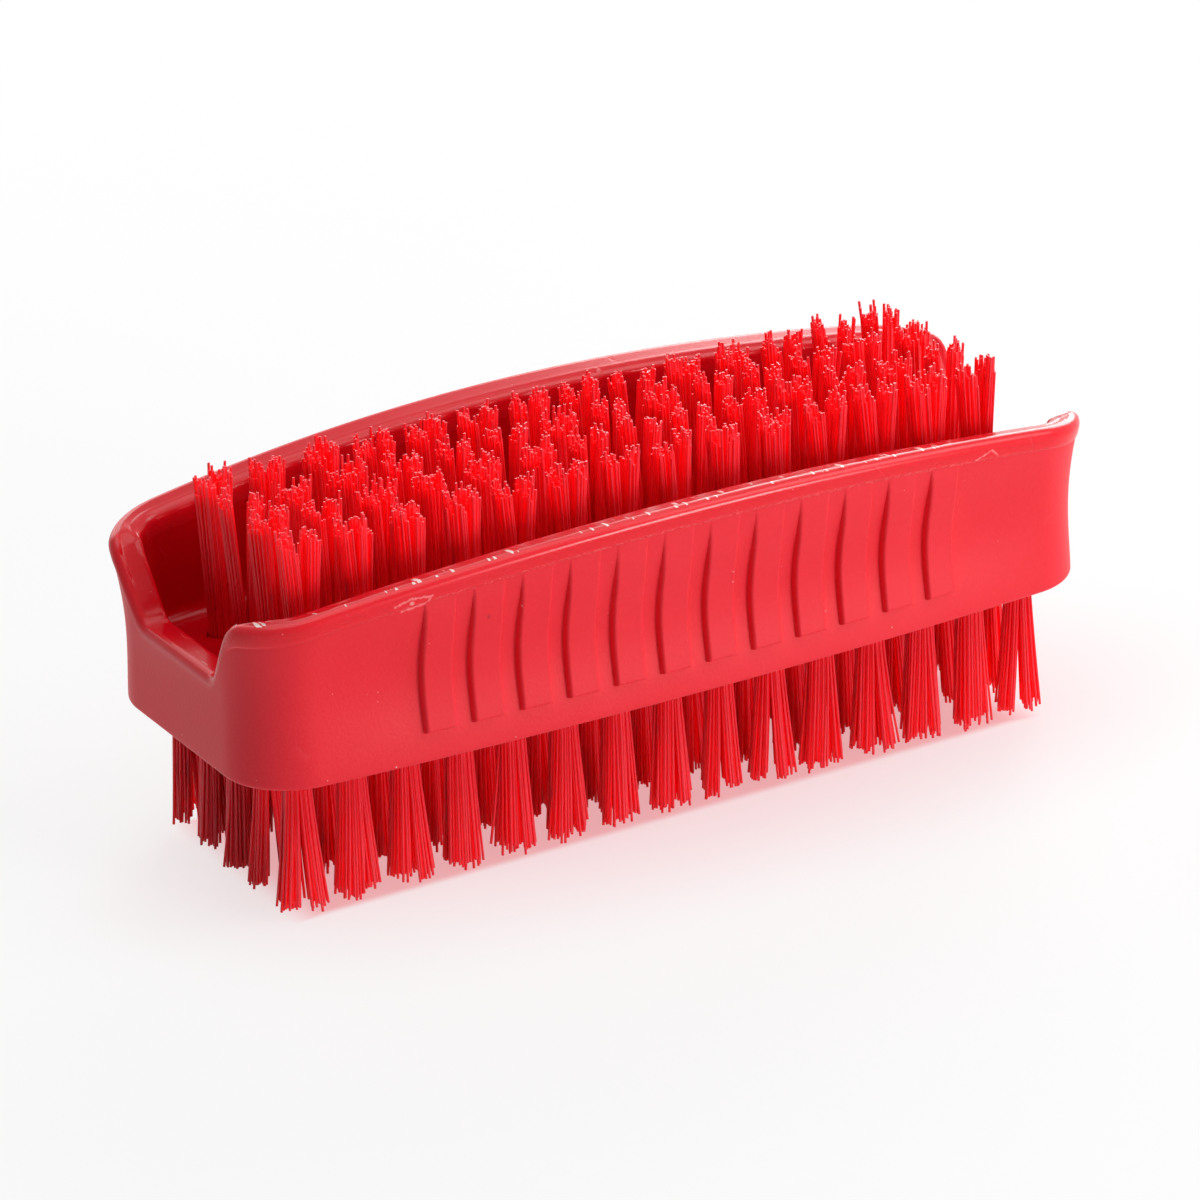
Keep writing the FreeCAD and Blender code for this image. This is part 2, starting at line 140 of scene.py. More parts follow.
def makeSpeckGroup():
    # small specks of dust and lint, strewn over a surface
    tree, given, result = startGroup("strewnSpecks", "ShaderNodeTree", (
        ("Vector", "NodeSocketVector", None),
        ("Spacing", "NodeSocketFloat", 0.003),
        ("Share", "NodeSocketFloat", 0.2),
        ("Size", "NodeSocketFloat", 0.12),
    ), (("Mask", "NodeSocketFloat"),))
    density = calc(tree, "DIVIDE", 1.0, given.outputs["Spacing"])
    bent = addNode(tree, "ShaderNodeTexNoise")
    feed(tree, bent.inputs["Vector"], given.outputs["Vector"])
    feed(tree, bent.inputs["Scale"], calc(tree, "MULTIPLY", density, 2.5))
    push = scaled(tree, calcVector(tree, "SUBTRACT", bent.outputs["Color"], (0.5, 0.5, 0.5)),
                  calc(tree, "MULTIPLY", given.outputs["Spacing"], 0.25))
    cells = addNode(tree, "ShaderNodeTexVoronoi")
    feed(tree, cells.inputs["Vector"], calcVector(tree, "ADD", given.outputs["Vector"], push))
    feed(tree, cells.inputs["Scale"], density)
    draw = addNode(tree, "ShaderNodeSeparateColor")
    feed(tree, draw.inputs[0], cells.outputs["Color"])
    chosen = calc(tree, "LESS_THAN", draw.outputs[0], given.outputs["Share"])
    reach = calc(tree, "MULTIPLY", given.outputs["Size"], calc(tree, "ADD", draw.outputs[1], 0.35))
    inside = calc(tree, "SUBTRACT", 1.0, calc(tree, "DIVIDE", cells.outputs["Distance"], reach), clamp=True)
    spot = remap(tree, inside, 0.0, 0.45)
    feed(tree, result.inputs["Mask"], calc(tree, "MULTIPLY", spot, chosen))
    return tree


def makeScratchGroup():
    # thin wandering scratches, in patches
    tree, given, result = startGroup("fineScratches", "ShaderNodeTree", (
        ("Vector", "NodeSocketVector", None),
        ("Scale", "NodeSocketFloat", 90.0),
        ("Width", "NodeSocketFloat", 0.012),
        ("Patches", "NodeSocketFloat", 0.5),
    ), (("Mask", "NodeSocketFloat"),))
    field = addNode(tree, "ShaderNodeTexNoise")
    feed(tree, field.inputs["Vector"], given.outputs["Vector"])
    feed(tree, field.inputs["Scale"], given.outputs["Scale"])
    field.inputs["Detail"].default_value = 1.0
    offLine = calc(tree, "ABSOLUTE", calc(tree, "SUBTRACT", field.outputs[0], 0.5))
    line = calc(tree, "SUBTRACT", 1.0, calc(tree, "DIVIDE", offLine, given.outputs["Width"]), clamp=True)
    patch = addNode(tree, "ShaderNodeTexNoise")
    feed(tree, patch.inputs["Vector"], given.outputs["Vector"])
    feed(tree, patch.inputs["Scale"], calc(tree, "MULTIPLY", given.outputs["Scale"], 1.7))
    shown = remap(tree, patch.outputs[0], given.outputs["Patches"],
                  calc(tree, "ADD", given.outputs["Patches"], 0.08))
    feed(tree, result.inputs["Mask"], calc(tree, "MULTIPLY", line, shown))
    return tree


def makeMottleGroup():
    # soft patches of tone, from -1 to 1, and a fine grain for bump
    tree, given, result = startGroup("softMottle", "ShaderNodeTree", (
        ("Vector", "NodeSocketVector", None),
        ("Patch", "NodeSocketFloat", 0.02),
        ("Grain", "NodeSocketFloat", 0.0003),
    ), (("Tone", "NodeSocketFloat"), ("Grain", "NodeSocketFloat")))
    broad = addNode(tree, "ShaderNodeTexNoise")
    feed(tree, broad.inputs["Vector"], given.outputs["Vector"])
    feed(tree, broad.inputs["Scale"], calc(tree, "DIVIDE", 1.0, given.outputs["Patch"]))
    broad.inputs["Detail"].default_value = 3.0
    fine = addNode(tree, "ShaderNodeTexNoise")
    feed(tree, fine.inputs["Vector"], given.outputs["Vector"])
    feed(tree, fine.inputs["Scale"], calc(tree, "DIVIDE", 1.0, given.outputs["Grain"]))
    fine.inputs["Detail"].default_value = 2.0
    feed(tree, result.inputs["Tone"], remap(tree, broad.outputs[0], 0.3, 0.7, -1.0, 1.0, smooth=False))
    feed(tree, result.inputs["Grain"], fine.outputs[0])
    return tree


def makeStrokeGroup():
    # one broken stroke from a start to an end, such as a scuff
    tree, given, result = startGroup("scuffStroke", "ShaderNodeTree", (
        ("Vector", "NodeSocketVector", None),
        ("Start", "NodeSocketVector", None),
        ("End", "NodeSocketVector", None),
        ("Width", "NodeSocketFloat", 0.0002),
    ), (("Mask", "NodeSocketFloat"),))
    fromStart = calcVector(tree, "SUBTRACT", given.outputs["Vector"], given.outputs["Start"])
    stroke = calcVector(tree, "SUBTRACT", given.outputs["End"], given.outputs["Start"])
    length = calc(tree, "MAXIMUM", calcVector(tree, "DOT_PRODUCT", stroke, stroke), 1e-12)
    share = calc(tree, "DIVIDE", calcVector(tree, "DOT_PRODUCT", fromStart, stroke), length, clamp=True)
    offLine = calcVector(tree, "LENGTH", calcVector(tree, "SUBTRACT", fromStart, scaled(tree, stroke, share)))
    breaks = addNode(tree, "ShaderNodeTexNoise")
    feed(tree, breaks.inputs["Vector"], given.outputs["Vector"])
    breaks.inputs["Scale"].default_value = 2500.0
    breaks.inputs["Detail"].default_value = 2.0
    thinned = calc(tree, "ADD", calc(tree, "DIVIDE", offLine, given.outputs["Width"]),
                   remap(tree, breaks.outputs[0], 0.35, 0.65, 0.0, 0.6))
    feed(tree, result.inputs["Mask"], remap(tree, thinned, 1.2, 0.3))
    return tree


specks = makeSpeckGroup()
scuffStroke = makeStrokeGroup()
scratches = makeScratchGroup()
mottle = makeMottleGroup()


# Red plastic of the block: matt walls with a smoother rim, and a polished trough with its notches

plastic = {
    "colour": (0.800, 0.002, 0.013, 1.0),
    "mattPaintedSheenColour": (0.800, 0.010, 0.024, 1.0),    # painted sheen: the white that the fine moulding grain reflects is painted into the colour
    # painted shade: the trough, and in part the rim's top, are painted darker where little light reaches
    "paintedTroughShadeColour": (0.530, 0.001, 0.007, 1.0),
    "bloomColour": (0.860, 0.060, 0.080, 1.0),   # paler where the surface is rubbed
    "highlightAndScuffColour": (0.980, 0.230, 0.240, 1.0),
    "darkSpeckColour": (0.300, 0.010, 0.020, 1.0),
    "dustColour": (0.95, 0.62, 0.62, 1.0),
    "nickColour": (1.00, 0.86, 0.82, 1.0),
    "grain": 0.35 * mm,
    "ior": 1.5,
    "rimRubs": 0.3,                 # rubs on the rim, as a share of those on the walls
    "paintedCreaseHighlight": 0.6,                  # painted highlight: paleness of the broken line along the crease
    "ridgeLine": 0.15,
    "scuffs": 0.80,
    "darkSpeck": 0.5,
    "nicks": 0.9,
}
finishes = {
    "mouldedRed": {"roughness": 0.46, "rimRoughness": 0.23, "specular": 0.30, "grainDepth": 0.00003,
                   "dust": 0.40, "rubs": 0.30},
    "polishedRed": {"roughness": 0.16, "rimRoughness": 0.16, "specular": 0.20, "grainDepth": 0.000003,
                    "dust": 0.22, "rubs": 0.22},
}


# marks that the photo shows on the near side: start, end and half width of each stroke
scuffMarks = (
    ((0.03905, 0.0, 0.03947), (0.04127, 0.0, 0.04028), 0.00020),
    ((0.04127, 0.0, 0.04028), (0.04226, 0.0, 0.03936), 0.00020),
    ((-0.04043, 0.0, 0.03986), (-0.03844, 0.0, 0.04049), 0.00025),
    ((-0.03844, 0.0, 0.04049), (-0.03569, 0.0, 0.04031), 0.00025),
    ((-0.03569, 0.0, 0.04031), (-0.03653, 0.0, 0.03939), 0.00022),
    ((-0.03653, 0.0, 0.03939), (-0.03943, 0.0, 0.03898), 0.00025),
)
darkSpeck = (-0.02838, 0.0, 0.03572)
darkSpeckHalfWidth = 0.5 * mm
nicksEnd = (31.0 * mm, 36.0 * mm)   # from where to where along the block the white nicks run out


def readAttribute(tree, name):
    return addNode(tree, "ShaderNodeAttribute", attribute_name=name).outputs["Fac"]


def makePlastic(name):
    finish = finishes[name]
    material, tree, shader = startMaterial(name)
    place = addNode(tree, "ShaderNodeTexCoord").outputs["Object"]
    trough = readAttribute(tree, "trough")
    rim = readAttribute(tree, "rim")
    crease = readAttribute(tree, "crease")
    brink = readAttribute(tree, "brink")
    ridge = readAttribute(tree, "ridge")
    tones = placeGroup(tree, mottle, Vector=place, Patch=0.018, Grain=plastic["grain"])
    parts = addNode(tree, "ShaderNodeSeparateXYZ")
    feed(tree, parts.inputs[0], place)
    foot = remap(tree, parts.outputs["Z"], blockLow.z + 3.0 * mm, blockLow.z + 0.5 * mm)
    dust = placeGroup(tree, specks, Vector=place, Spacing=0.0015, Size=0.085,
                      Share=calc(tree, "MULTIPLY_ADD", foot, 0.25, 0.16))
    lint = placeGroup(tree, specks, Vector=place, Spacing=0.0055, Share=0.16, Size=0.07)
    acrossRim = calcVector(tree, "MULTIPLY", place, (1.0, 0.2, 0.0))   # nicks run across the rim
    nicks = placeGroup(tree, specks, Vector=acrossRim, Spacing=0.0007, Share=0.5, Size=0.46)
    rubs = placeGroup(tree, scratches, Vector=place, Scale=120.0, Width=0.010, Patches=0.58)

    # the colour: soft tones, a painted sheen on the matt walls, painted shade in the trough and across the
    # rim's top, rubs, dust, a broken painted highlight along the crease, a painted highlight along the ridge
    # and white nicks on the brink
    tone = calc(tree, "MULTIPLY_ADD", tones.outputs["Tone"], 0.5, 0.5)
    stipple = remap(tree, tones.outputs["Grain"], 0.35, 0.65, 0.0, 0.08)
    # painted sheen: the matt walls get the paler colour, the rim less of it
    outer = mixColour(tree, rim, plastic["mattPaintedSheenColour"], plastic["colour"])
    outer = mixColour(tree, calc(tree, "MULTIPLY_ADD", tone, 0.12, stipple), outer, plastic["bloomColour"])
    # painted shade: darker in the trough and across the rim's top
    body = mixColour(tree, trough, outer, plastic["paintedTroughShadeColour"])
    # painted highlight: a broken pale line along the crease
    paintedCreaseHighlight = calc(tree, "MULTIPLY", remap(tree, tones.outputs["Grain"], 0.47, 0.62), crease)
    rimRubs = plastic["rimRubs"] * finish["rubs"]
    rubShare = remap(tree, rim, 0.0, 1.0, finish["rubs"], rimRubs, smooth=False)
    rubbed = mixColour(tree, calc(tree, "MULTIPLY", rubs.outputs["Mask"], rubShare), body,
                       plastic["bloomColour"])
    front = remap(tree, parts.outputs["Y"], 0.0, -0.012)      # the long side that has been knocked about
    onFront = calcVector(tree, "MULTIPLY", place, (1.0, 0.0, 1.0))
    scuffs = 0.0
    for start, end, width in scuffMarks:
        stroke = placeGroup(tree, scuffStroke, Vector=onFront, Start=start, End=end, Width=width)
        scuffs = calc(tree, "MAXIMUM", scuffs, stroke.outputs["Mask"])
    scuffs = calc(tree, "MULTIPLY", scuffs, front)
    # the paler marks: the painted highlights of the crease and the ridge, and the scuffs
    paleMarksAndHighlights = calc(tree, "MAXIMUM", calc(tree, "MULTIPLY", paintedCreaseHighlight, plastic["paintedCreaseHighlight"]),
                    calc(tree, "MULTIPLY", ridge, plastic["ridgeLine"]))
    paleMarksAndHighlights = calc(tree, "MAXIMUM", paleMarksAndHighlights, calc(tree, "MULTIPLY", scuffs, plastic["scuffs"]))
    rubbed = mixColour(tree, paleMarksAndHighlights, rubbed, plastic["highlightAndScuffColour"])
    burnt = placeGroup(tree, scuffStroke, Vector=onFront, Start=darkSpeck, End=darkSpeck,
                       Width=darkSpeckHalfWidth)
    burnt = calc(tree, "MULTIPLY", burnt.outputs["Mask"], calc(tree, "MULTIPLY", front, plastic["darkSpeck"]))
    rubbed = mixColour(tree, burnt, rubbed, plastic["darkSpeckColour"])
    outside = calc(tree, "SUBTRACT", 1.0, trough)
    dusty = calc(tree, "MULTIPLY", calc(tree, "MAXIMUM", dust.outputs["Mask"], lint.outputs["Mask"]), outside)
    thickness = calc(tree, "MULTIPLY_ADD", foot, 0.4, finish["dust"])
    dusted = mixColour(tree, calc(tree, "MULTIPLY", dusty, thickness), rubbed, plastic["dustColour"])
    struck = calc(tree, "MULTIPLY", remap(tree, parts.outputs["X"], nicksEnd[1], nicksEnd[0]), front)
    nicked = calc(tree, "MULTIPLY", remap(tree, nicks.outputs["Mask"], 0.4, 0.8), struck)
    nicked = calc(tree, "MULTIPLY", nicked, remap(tree, brink, 0.15, 0.6, 0.0, plastic["nicks"]))
    feed(tree, shader.inputs["Base Color"], mixColour(tree, nicked, dusted, plastic["nickColour"]))

    smoothness = remap(tree, rim, 0.0, 1.0, finish["roughness"], finish["rimRoughness"], smooth=False)
    satin = calc(tree, "MULTIPLY_ADD", tones.outputs["Tone"], 0.03, smoothness)
    worn = calc(tree, "MULTIPLY_ADD", rubs.outputs["Mask"], 0.15, satin)
    feed(tree, shader.inputs["Roughness"], calc(tree, "MULTIPLY_ADD", dusty, 0.3, worn))

    grainy = calc(tree, "MULTIPLY", tones.outputs["Grain"], calc(tree, "MULTIPLY_ADD", rim, -0.85, 1.0))
    marked = calc(tree, "MULTIPLY_ADD", rubs.outputs["Mask"], -0.4, calc(tree, "ADD", grainy, dusty))
    bump = addNode(tree, "ShaderNodeBump")
    bump.inputs["Distance"].default_value = finish["grainDepth"]
    feed(tree, bump.inputs["Height"], marked)
    feed(tree, shader.inputs["Normal"], bump.outputs["Normal"])
    shader.inputs["IOR"].default_value = plastic["ior"]
    shader.inputs["Specular IOR Level"].default_value = finish["specular"]
    return material


# Nylon filaments

nylon = {
    "colour": (0.900, 0.014, 0.034, 1.0),
    "shadeColour": (0.780, 0.006, 0.018, 1.0),
    "endColour": (0.960, 0.045, 0.065, 1.0),    # light gathers towards the ends
    "paleTipAndHighlightColour": (0.980, 0.200, 0.200, 1.0),
    "tipHeight": 0.010,             # share of the filament's length that is pale at the cut end, where a highlight is painted
    "roughness": 0.42,
    "grainDepth": 0.01 * mm,
    "ior": 1.53,
    "specular": 0.30,
    "passedLight": (0.99, 0.38, 0.40, 1.0),   # what one filament lets through to those behind it
    "scattering": 0.6,              # share of the light that wanders inside a filament
    "scatterReach": 1.2 * mm,
    "scatterTint": (1.0, 0.10, 0.12),
}


def makeNylon():
    material, tree, shader = startMaterial("nylonRed")
    place = addNode(tree, "ShaderNodeTexCoord").outputs["Object"]
    tone = readAttribute(tree, "filamentTone")
    along = readAttribute(tree, "alongFilament")
    tones = placeGroup(tree, mottle, Vector=place, Patch=0.004, Grain=0.0002)
    shade = calc(tree, "MULTIPLY_ADD", tones.outputs["Tone"], 0.12,
                 calc(tree, "MULTIPLY", tone, 0.55), clamp=True)
    body = mixColour(tree, shade, nylon["colour"], nylon["shadeColour"])
    body = mixColour(tree, remap(tree, along, 0.3, 1.0, 0.0, 0.8), body, nylon["endColour"])
    # the cut ends are paler, partly their own whiter cut and partly a painted highlight, on some filaments
    # more than on others
    tip = remap(tree, along, 1 - nylon["tipHeight"], 1.0)
    paleMarksAndHighlights = remap(tree, calc(tree, "FRACT", calc(tree, "MULTIPLY", tone, 7.0)), 0.7, 1.0, 0.0, 0.5)
    feed(tree, shader.inputs["Base Color"],
         mixColour(tree, calc(tree, "MULTIPLY", tip, paleMarksAndHighlights), body, nylon["paleTipAndHighlightColour"]))
    feed(tree, shader.inputs["Roughness"],
         calc(tree, "MULTIPLY_ADD", tones.outputs["Tone"], 0.05, nylon["roughness"]))
    bump = addNode(tree, "ShaderNodeBump")
    bump.inputs["Distance"].default_value = nylon["grainDepth"]
    feed(tree, bump.inputs["Height"], tones.outputs["Grain"])
    feed(tree, shader.inputs["Normal"], bump.outputs["Normal"])
    shader.inputs["IOR"].default_value = nylon["ior"]
    shader.inputs["Specular IOR Level"].default_value = nylon["specular"]
    shader.inputs["Subsurface Weight"].default_value = nylon["scattering"]
    shader.inputs["Subsurface Scale"].default_value = nylon["scatterReach"]
    shader.inputs["Subsurface Radius"].default_value = nylon["scatterTint"]

    # a filament is solid to look at, but lets red light through to the ones behind it
    passing = addNode(tree, "ShaderNodeBsdfTransparent")
    passing.inputs["Color"].default_value = nylon["passedLight"]
    either = addNode(tree, "ShaderNodeMixShader")
    tree.links.new(addNode(tree, "ShaderNodeLightPath").outputs["Is Shadow Ray"], either.inputs[0])
    tree.links.new(shader.outputs["BSDF"], either.inputs[1])
    tree.links.new(passing.outputs["BSDF"], either.inputs[2])
    output = tree.nodes["Material Output"]
    tree.links.new(either.outputs["Shader"], output.inputs["Surface"])
    return material


# Flat steel wire of the anchors, which stay as the frame has them

steel = {
    "colour": (0.62, 0.62, 0.63, 1.0),
    "darkColour": (0.34, 0.33, 0.33, 1.0),
    "roughness": 0.34,
    "grainDepth": 0.01 * mm,
}


def makeSteel():
    material, tree, shader = startMaterial("drawnSteel")
    place = addNode(tree, "ShaderNodeTexCoord").outputs["Object"]
    stretch = calcVector(tree, "MULTIPLY", place, (0.15, 1.0, 1.0))   # drawn marks run along the wire
    tones = placeGroup(tree, mottle, Vector=stretch, Patch=0.0006, Grain=0.00008)
    rubs = placeGroup(tree, scratches, Vector=stretch, Scale=900.0, Width=0.03, Patches=0.4)
    tone = calc(tree, "MULTIPLY_ADD", tones.outputs["Tone"], 0.3, 0.35, clamp=True)
    feed(tree, shader.inputs["Base Color"], mixColour(tree, tone, steel["colour"], steel["darkColour"]))
    feed(tree, shader.inputs["Roughness"],
         calc(tree, "MULTIPLY_ADD", tones.outputs["Tone"], 0.08, steel["roughness"]))
    bump = addNode(tree, "ShaderNodeBump")
    bump.inputs["Distance"].default_value = steel["grainDepth"]
    feed(tree, bump.inputs["Height"], calc(tree, "SUBTRACT", tones.outputs["Grain"], rubs.outputs["Mask"]))
    feed(tree, shader.inputs["Normal"], bump.outputs["Normal"])
    shader.inputs["Metallic"].default_value = 1.0
    return material


mouldedRed = makePlastic("mouldedRed")
polishedRed = makePlastic("polishedRed")
nylonRed = makeNylon()
drawnSteel = makeSteel()
print("materials made")


# Places that the frame gives: the lines of tufts on both faces

def tuftLines(field):
    # the CAD nodes of one field, in order along the block
    return sorted(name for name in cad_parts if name.startswith(field + "_tufts_"))


def lineCentre(name):
    low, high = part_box(name)
    return (low + high) / 2


tuft = {
    "pitch": 7.17 * mm,
    "holeRadius": 1.75 * mm,
    "holeDepth": 5.5 * mm,
    "slitHalfLength": 2.0 * mm,     # slit that the anchor cuts on each side of the hole
    "slitHalfWidth": 0.25 * mm,
    "holeSegments": 9,              # along each of the hole's two arcs
}


def tuftPlaces(field):
    # axis of every tuft of a field, as (x, y)
    places = []
    for name in tuftLines(field):
        low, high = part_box(name)
        rows = round((high.y - low.y) / tuft["pitch"])
        for row in range(rows):
            places.append((lineCentre(name).x, (row - (rows - 1) / 2) * tuft["pitch"]))
    return places


# The moulded block: one closed shell, swept round the outline from the underside, over the rim, to the trough

block = {
    "halfLength": 58.15 * mm,
    "halfWidth": 22.3 * mm,
    "sideBow": 2.6 * mm,
    "cornerRadius": 9.0 * mm,
    "flare": 2.3 * mm,
    "rise": 25.4 * mm,
    "rimDrop": 4.5 * mm,
    "floorThickness": 7.5 * mm,
    "undersideRound": 0.6 * mm,
    "sideRimWidth": 4.4 * mm,
    "endRimWidth": 4.8 * mm,
    "draft": 0.6 * mm,
    "draftHeight": 20.9 * mm,
    "troughCornerRadius": 4.6 * mm,
    "troughFloorRound": 1.5 * mm,
    "endLeanShare": 0.6,
    "troughBowShare": 0.95,
    "levelShares": (0.0, 0.17, 0.4, 0.59, 0.75, 0.87, 1.06),
    "leanShares": (0.0, -0.07, -0.1, 0.08, 0.38, 0.66, 1.13),
    "gripHollow": 0.80 * mm,        # how far the long sides sink in between their foot and the crease
    "gripMiddle": 0.43,             # level of the deepest place, as a share of the rise
    "gripHalfHeight": 0.40,
    "gripReach": (38.0 * mm, 54.0 * mm),   # from where to where along the block the hollow runs out
    "footLevels": (1.2 * mm, 2.0 * mm, 2.9 * mm),   # rows of points below the ribs
    "sharpAngle": 50,
}
rimShape = {
    "outerRound": 1.5 * mm,
    "innerRound": 1.4 * mm,
    "innerDrop": 0.33 * mm,         # how much lower the top's inner edge lies than its outer one
    "beadDepths": (2.90 * mm, 2.76 * mm, 2.66 * mm, 2.58 * mm, 2.48 * mm, 2.25 * mm, 1.95 * mm),
    "beadStands": (0.0, -0.02 * mm, 0.0, 0.08 * mm, 0.15 * mm, 0.18 * mm, 0.18 * mm),
    "creaseShares": (0.0, 0.2, 0.6, 1.0, 0.5, 0.0, 0.0),
    "rimShares": (0.0, 0.1, 0.3, 0.6, 0.9, 1.0, 1.0),
    "ridgeShares": (0.0, 0.0, 0.0, 0.0, 0.0, 0.0, 0.1, 1.0, 0.2),      # painted highlight: fine pale line above the shoulder
    "brinkShares": (0.0, 0.0, 0.0, 0.0, 0.0, 0.0, 0.0, 1.0, 1.0),      # where the white nicks lie
    "topShadeShares": (0.0, 0.0, 0.0, 0.0, 0.0, 0.0, 0.0, 0.1, 0.30),       # painted shade: the top is painted a deeper red
    "topShadeShare": 0.45,               # the same painted shade from there on, across the top
    "innerBrink": 0.3,              # nicks thin out to this share at the top's inner edge
    "creaseReach": (36.0 * mm, 46.0 * mm),   # from where to where along the block the crease's painted highlight runs out
}
notch = {
    "sillRise": 11.9 * mm,
    "halfSill": 9.0 * mm,
    "halfMouth": 15.2 * mm,
    "lowerBlend": 1.4 * mm,
    "upperBlend": 2.0 * mm,
    "outerRound": 1.0 * mm,
    "innerRound": 0.5 * mm,
    "fade": 1.5 * mm,               # depth below the arch at which the rim has become the notch
}
ribs = {
    "count": 12,
    "pitch": 6.28 * mm,
    "width": 4.1 * mm,
    "bottom": 3.8 * mm,
    "height": 0.92 * mm,
    "edge": 0.48 * mm,              # width of a rib's drafted and rounded side
    "standShares": (0.72, 0.88, 1.0, 0.92, 0.52, 0.0, 0.0),
    "edgeSteps": (-0.25 * mm, -0.06 * mm, 0.0, 0.06 * mm, 0.13 * mm, 0.22 * mm, 0.34 * mm, 0.48 * mm,
                  0.63 * mm),
}
endColumns = 22
cornerColumns = 24
freeSideColumns = 12
wallRows = 16
roundRows = 9
crossRows = 8
troughRows = 9


def columnsOfQuarter():
    # columns from the middle of an end, round the corner, to the middle of a side: kind and value of each
    ends = [("end", (step / endColumns) ** 0.8) for step in range(endColumns)]
    corners = [("corner", step / cornerColumns) for step in range(cornerColumns)]
    sides = [("reach", 1 - step / freeSideColumns) for step in range(freeSideColumns)]
    places = [0.0]
    for number in range(ribs["count"] // 2):
        centre = (number + 0.5) * ribs["pitch"]
        half = ribs["width"] / 2
        for step in ribs["edgeSteps"]:
            places += [centre - half + step, centre + half - step]
        places.append(centre)
        places.append((number + 1) * ribs["pitch"])
    ribEnd = max(places)
    sides += [("place", place) for place in sorted(places, reverse=True)]
    return ends + corners + sides, ribEnd


quarter, ribEnd = columnsOfQuarter()
kinds = np.array([kind for kind, value in quarter])
values = np.array([value for kind, value in quarter])


def outlinePoints(halfLength, halfWidth, bow, radius):
    # plan point and outward direction of every column, for outlines whose sizes are arrays of rows by columns
    sideRadius = (halfLength ** 2 + bow ** 2) / (2 * bow)
    sideCentre = halfWidth - sideRadius
    cornerX = halfLength - radius
    cornerY = sideCentre + np.sqrt((sideRadius - radius) ** 2 - cornerX ** 2)
    meet = np.arctan2(cornerY - sideCentre, cornerX)
    turn = np.where(kinds == "corner", values * meet, 0.0)
    meetX = sideRadius * np.cos(meet)
    placed = np.where(kinds == "place", values, 0.0)
    x = np.where(kinds == "reach", ribEnd + values * (meetX - ribEnd), placed)
    sideY = sideCentre + np.sqrt(sideRadius ** 2 - x ** 2)
    onEnd = kinds == "end"
    onCorner = kinds == "corner"
    x = np.where(onEnd, halfLength, np.where(onCorner, cornerX + radius * np.cos(turn), x))
    y = np.where(onEnd, values * cornerY, np.where(onCorner, cornerY + radius * np.sin(turn), sideY))
    outX = np.where(onEnd, 1.0, np.where(onCorner, np.cos(turn), x / sideRadius))
    outY = np.sqrt(np.maximum(1 - outX ** 2, 0))
    return x, y, outX, outY


leanCurve = np.polyfit(block["levelShares"], block["leanShares"], 6)


def outerWall(level):
    share = (level - blockLow.z) / block["rise"]
    lean = block["flare"] * np.polyval(leanCurve, share)
    x, y, outX, outY = outlinePoints(block["halfLength"] + lean, block["halfWidth"] + lean,
                                     block["sideBow"] + 0 * lean, block["cornerRadius"] + lean)
    offMiddle = np.clip(np.abs(share - block["gripMiddle"]) / block["gripHalfHeight"], 0, 1)
    near, far = block["gripReach"]
    runOut = np.clip((far - x) / (far - near), 0, 1)
    hollow = block["gripHollow"] * np.cos(offMiddle * math.pi / 2) ** 2 * runOut ** 2 * (3 - 2 * runOut)
    return x, y - hollow, outX, outY


def innerWall(level):
    mouth = blockLow.z + block["floorThickness"] + block["draftHeight"]
    draft = block["draft"] * (mouth - level) / block["draftHeight"]
    halfLength = block["halfLength"] + block["flare"] * block["endLeanShare"] - block["endRimWidth"] - draft
    halfWidth = block["halfWidth"] + block["flare"] - block["sideRimWidth"] - draft
    bow = block["sideBow"] * block["troughBowShare"] + 0 * draft
    return outlinePoints(halfLength, halfWidth, bow, block["troughCornerRadius"] - draft)


def softLeast(first, second, blend):
    overlap = np.maximum(blend - np.abs(first - second), 0) / blend
    return np.minimum(first, second) - overlap ** 2 * blend / 4


def rimLevel(x, y):
    # top of the wall: the arch of the rim, dropped into the notches near the ends
    archRadius = (block["halfLength"] ** 2 + block["rimDrop"] ** 2) / (2 * block["rimDrop"])
    arch = blockLow.z + block["rise"] - archRadius + np.sqrt(archRadius ** 2 - x ** 2)
    sill = blockLow.z + notch["sillRise"]
    endRise = block["rise"] - block["rimDrop"] - notch["sillRise"]
    slope = endRise / (notch["halfMouth"] - notch["halfSill"])
    flank = sill + slope * (np.abs(y) - notch["halfSill"])
    cut = -softLeast(-flank, -sill + 0 * flank, notch["lowerBlend"])
    return softLeast(arch, cut, notch["upperBlend"]), arch


def settle(wall):
    # level of the wall's top at every column, where the wall itself leans
    level = np.full((1, len(quarter)), blockLow.z + block["rise"])
    for _ in range(6):
        x, y, outX, outY = wall(level)
        level, arch = rimLevel(x, y)
    small = 0.02 * mm
    steepness = (rimLevel(x, y + small)[0] - rimLevel(x, y - small)[0]) / (2 * small)
    inNotch = np.clip((arch - level) / notch["fade"], 0, 1)
    inNotch = inNotch ** 2 * (3 - 2 * inNotch)
    return level, np.sqrt(1 + steepness ** 2), inNotch


def wallRowsOf(wall, levels, insets):
    x, y, outX, outY = wall(levels)
    return np.stack([x - insets * outX, y - insets * outY, levels + 0 * x], axis=-1)


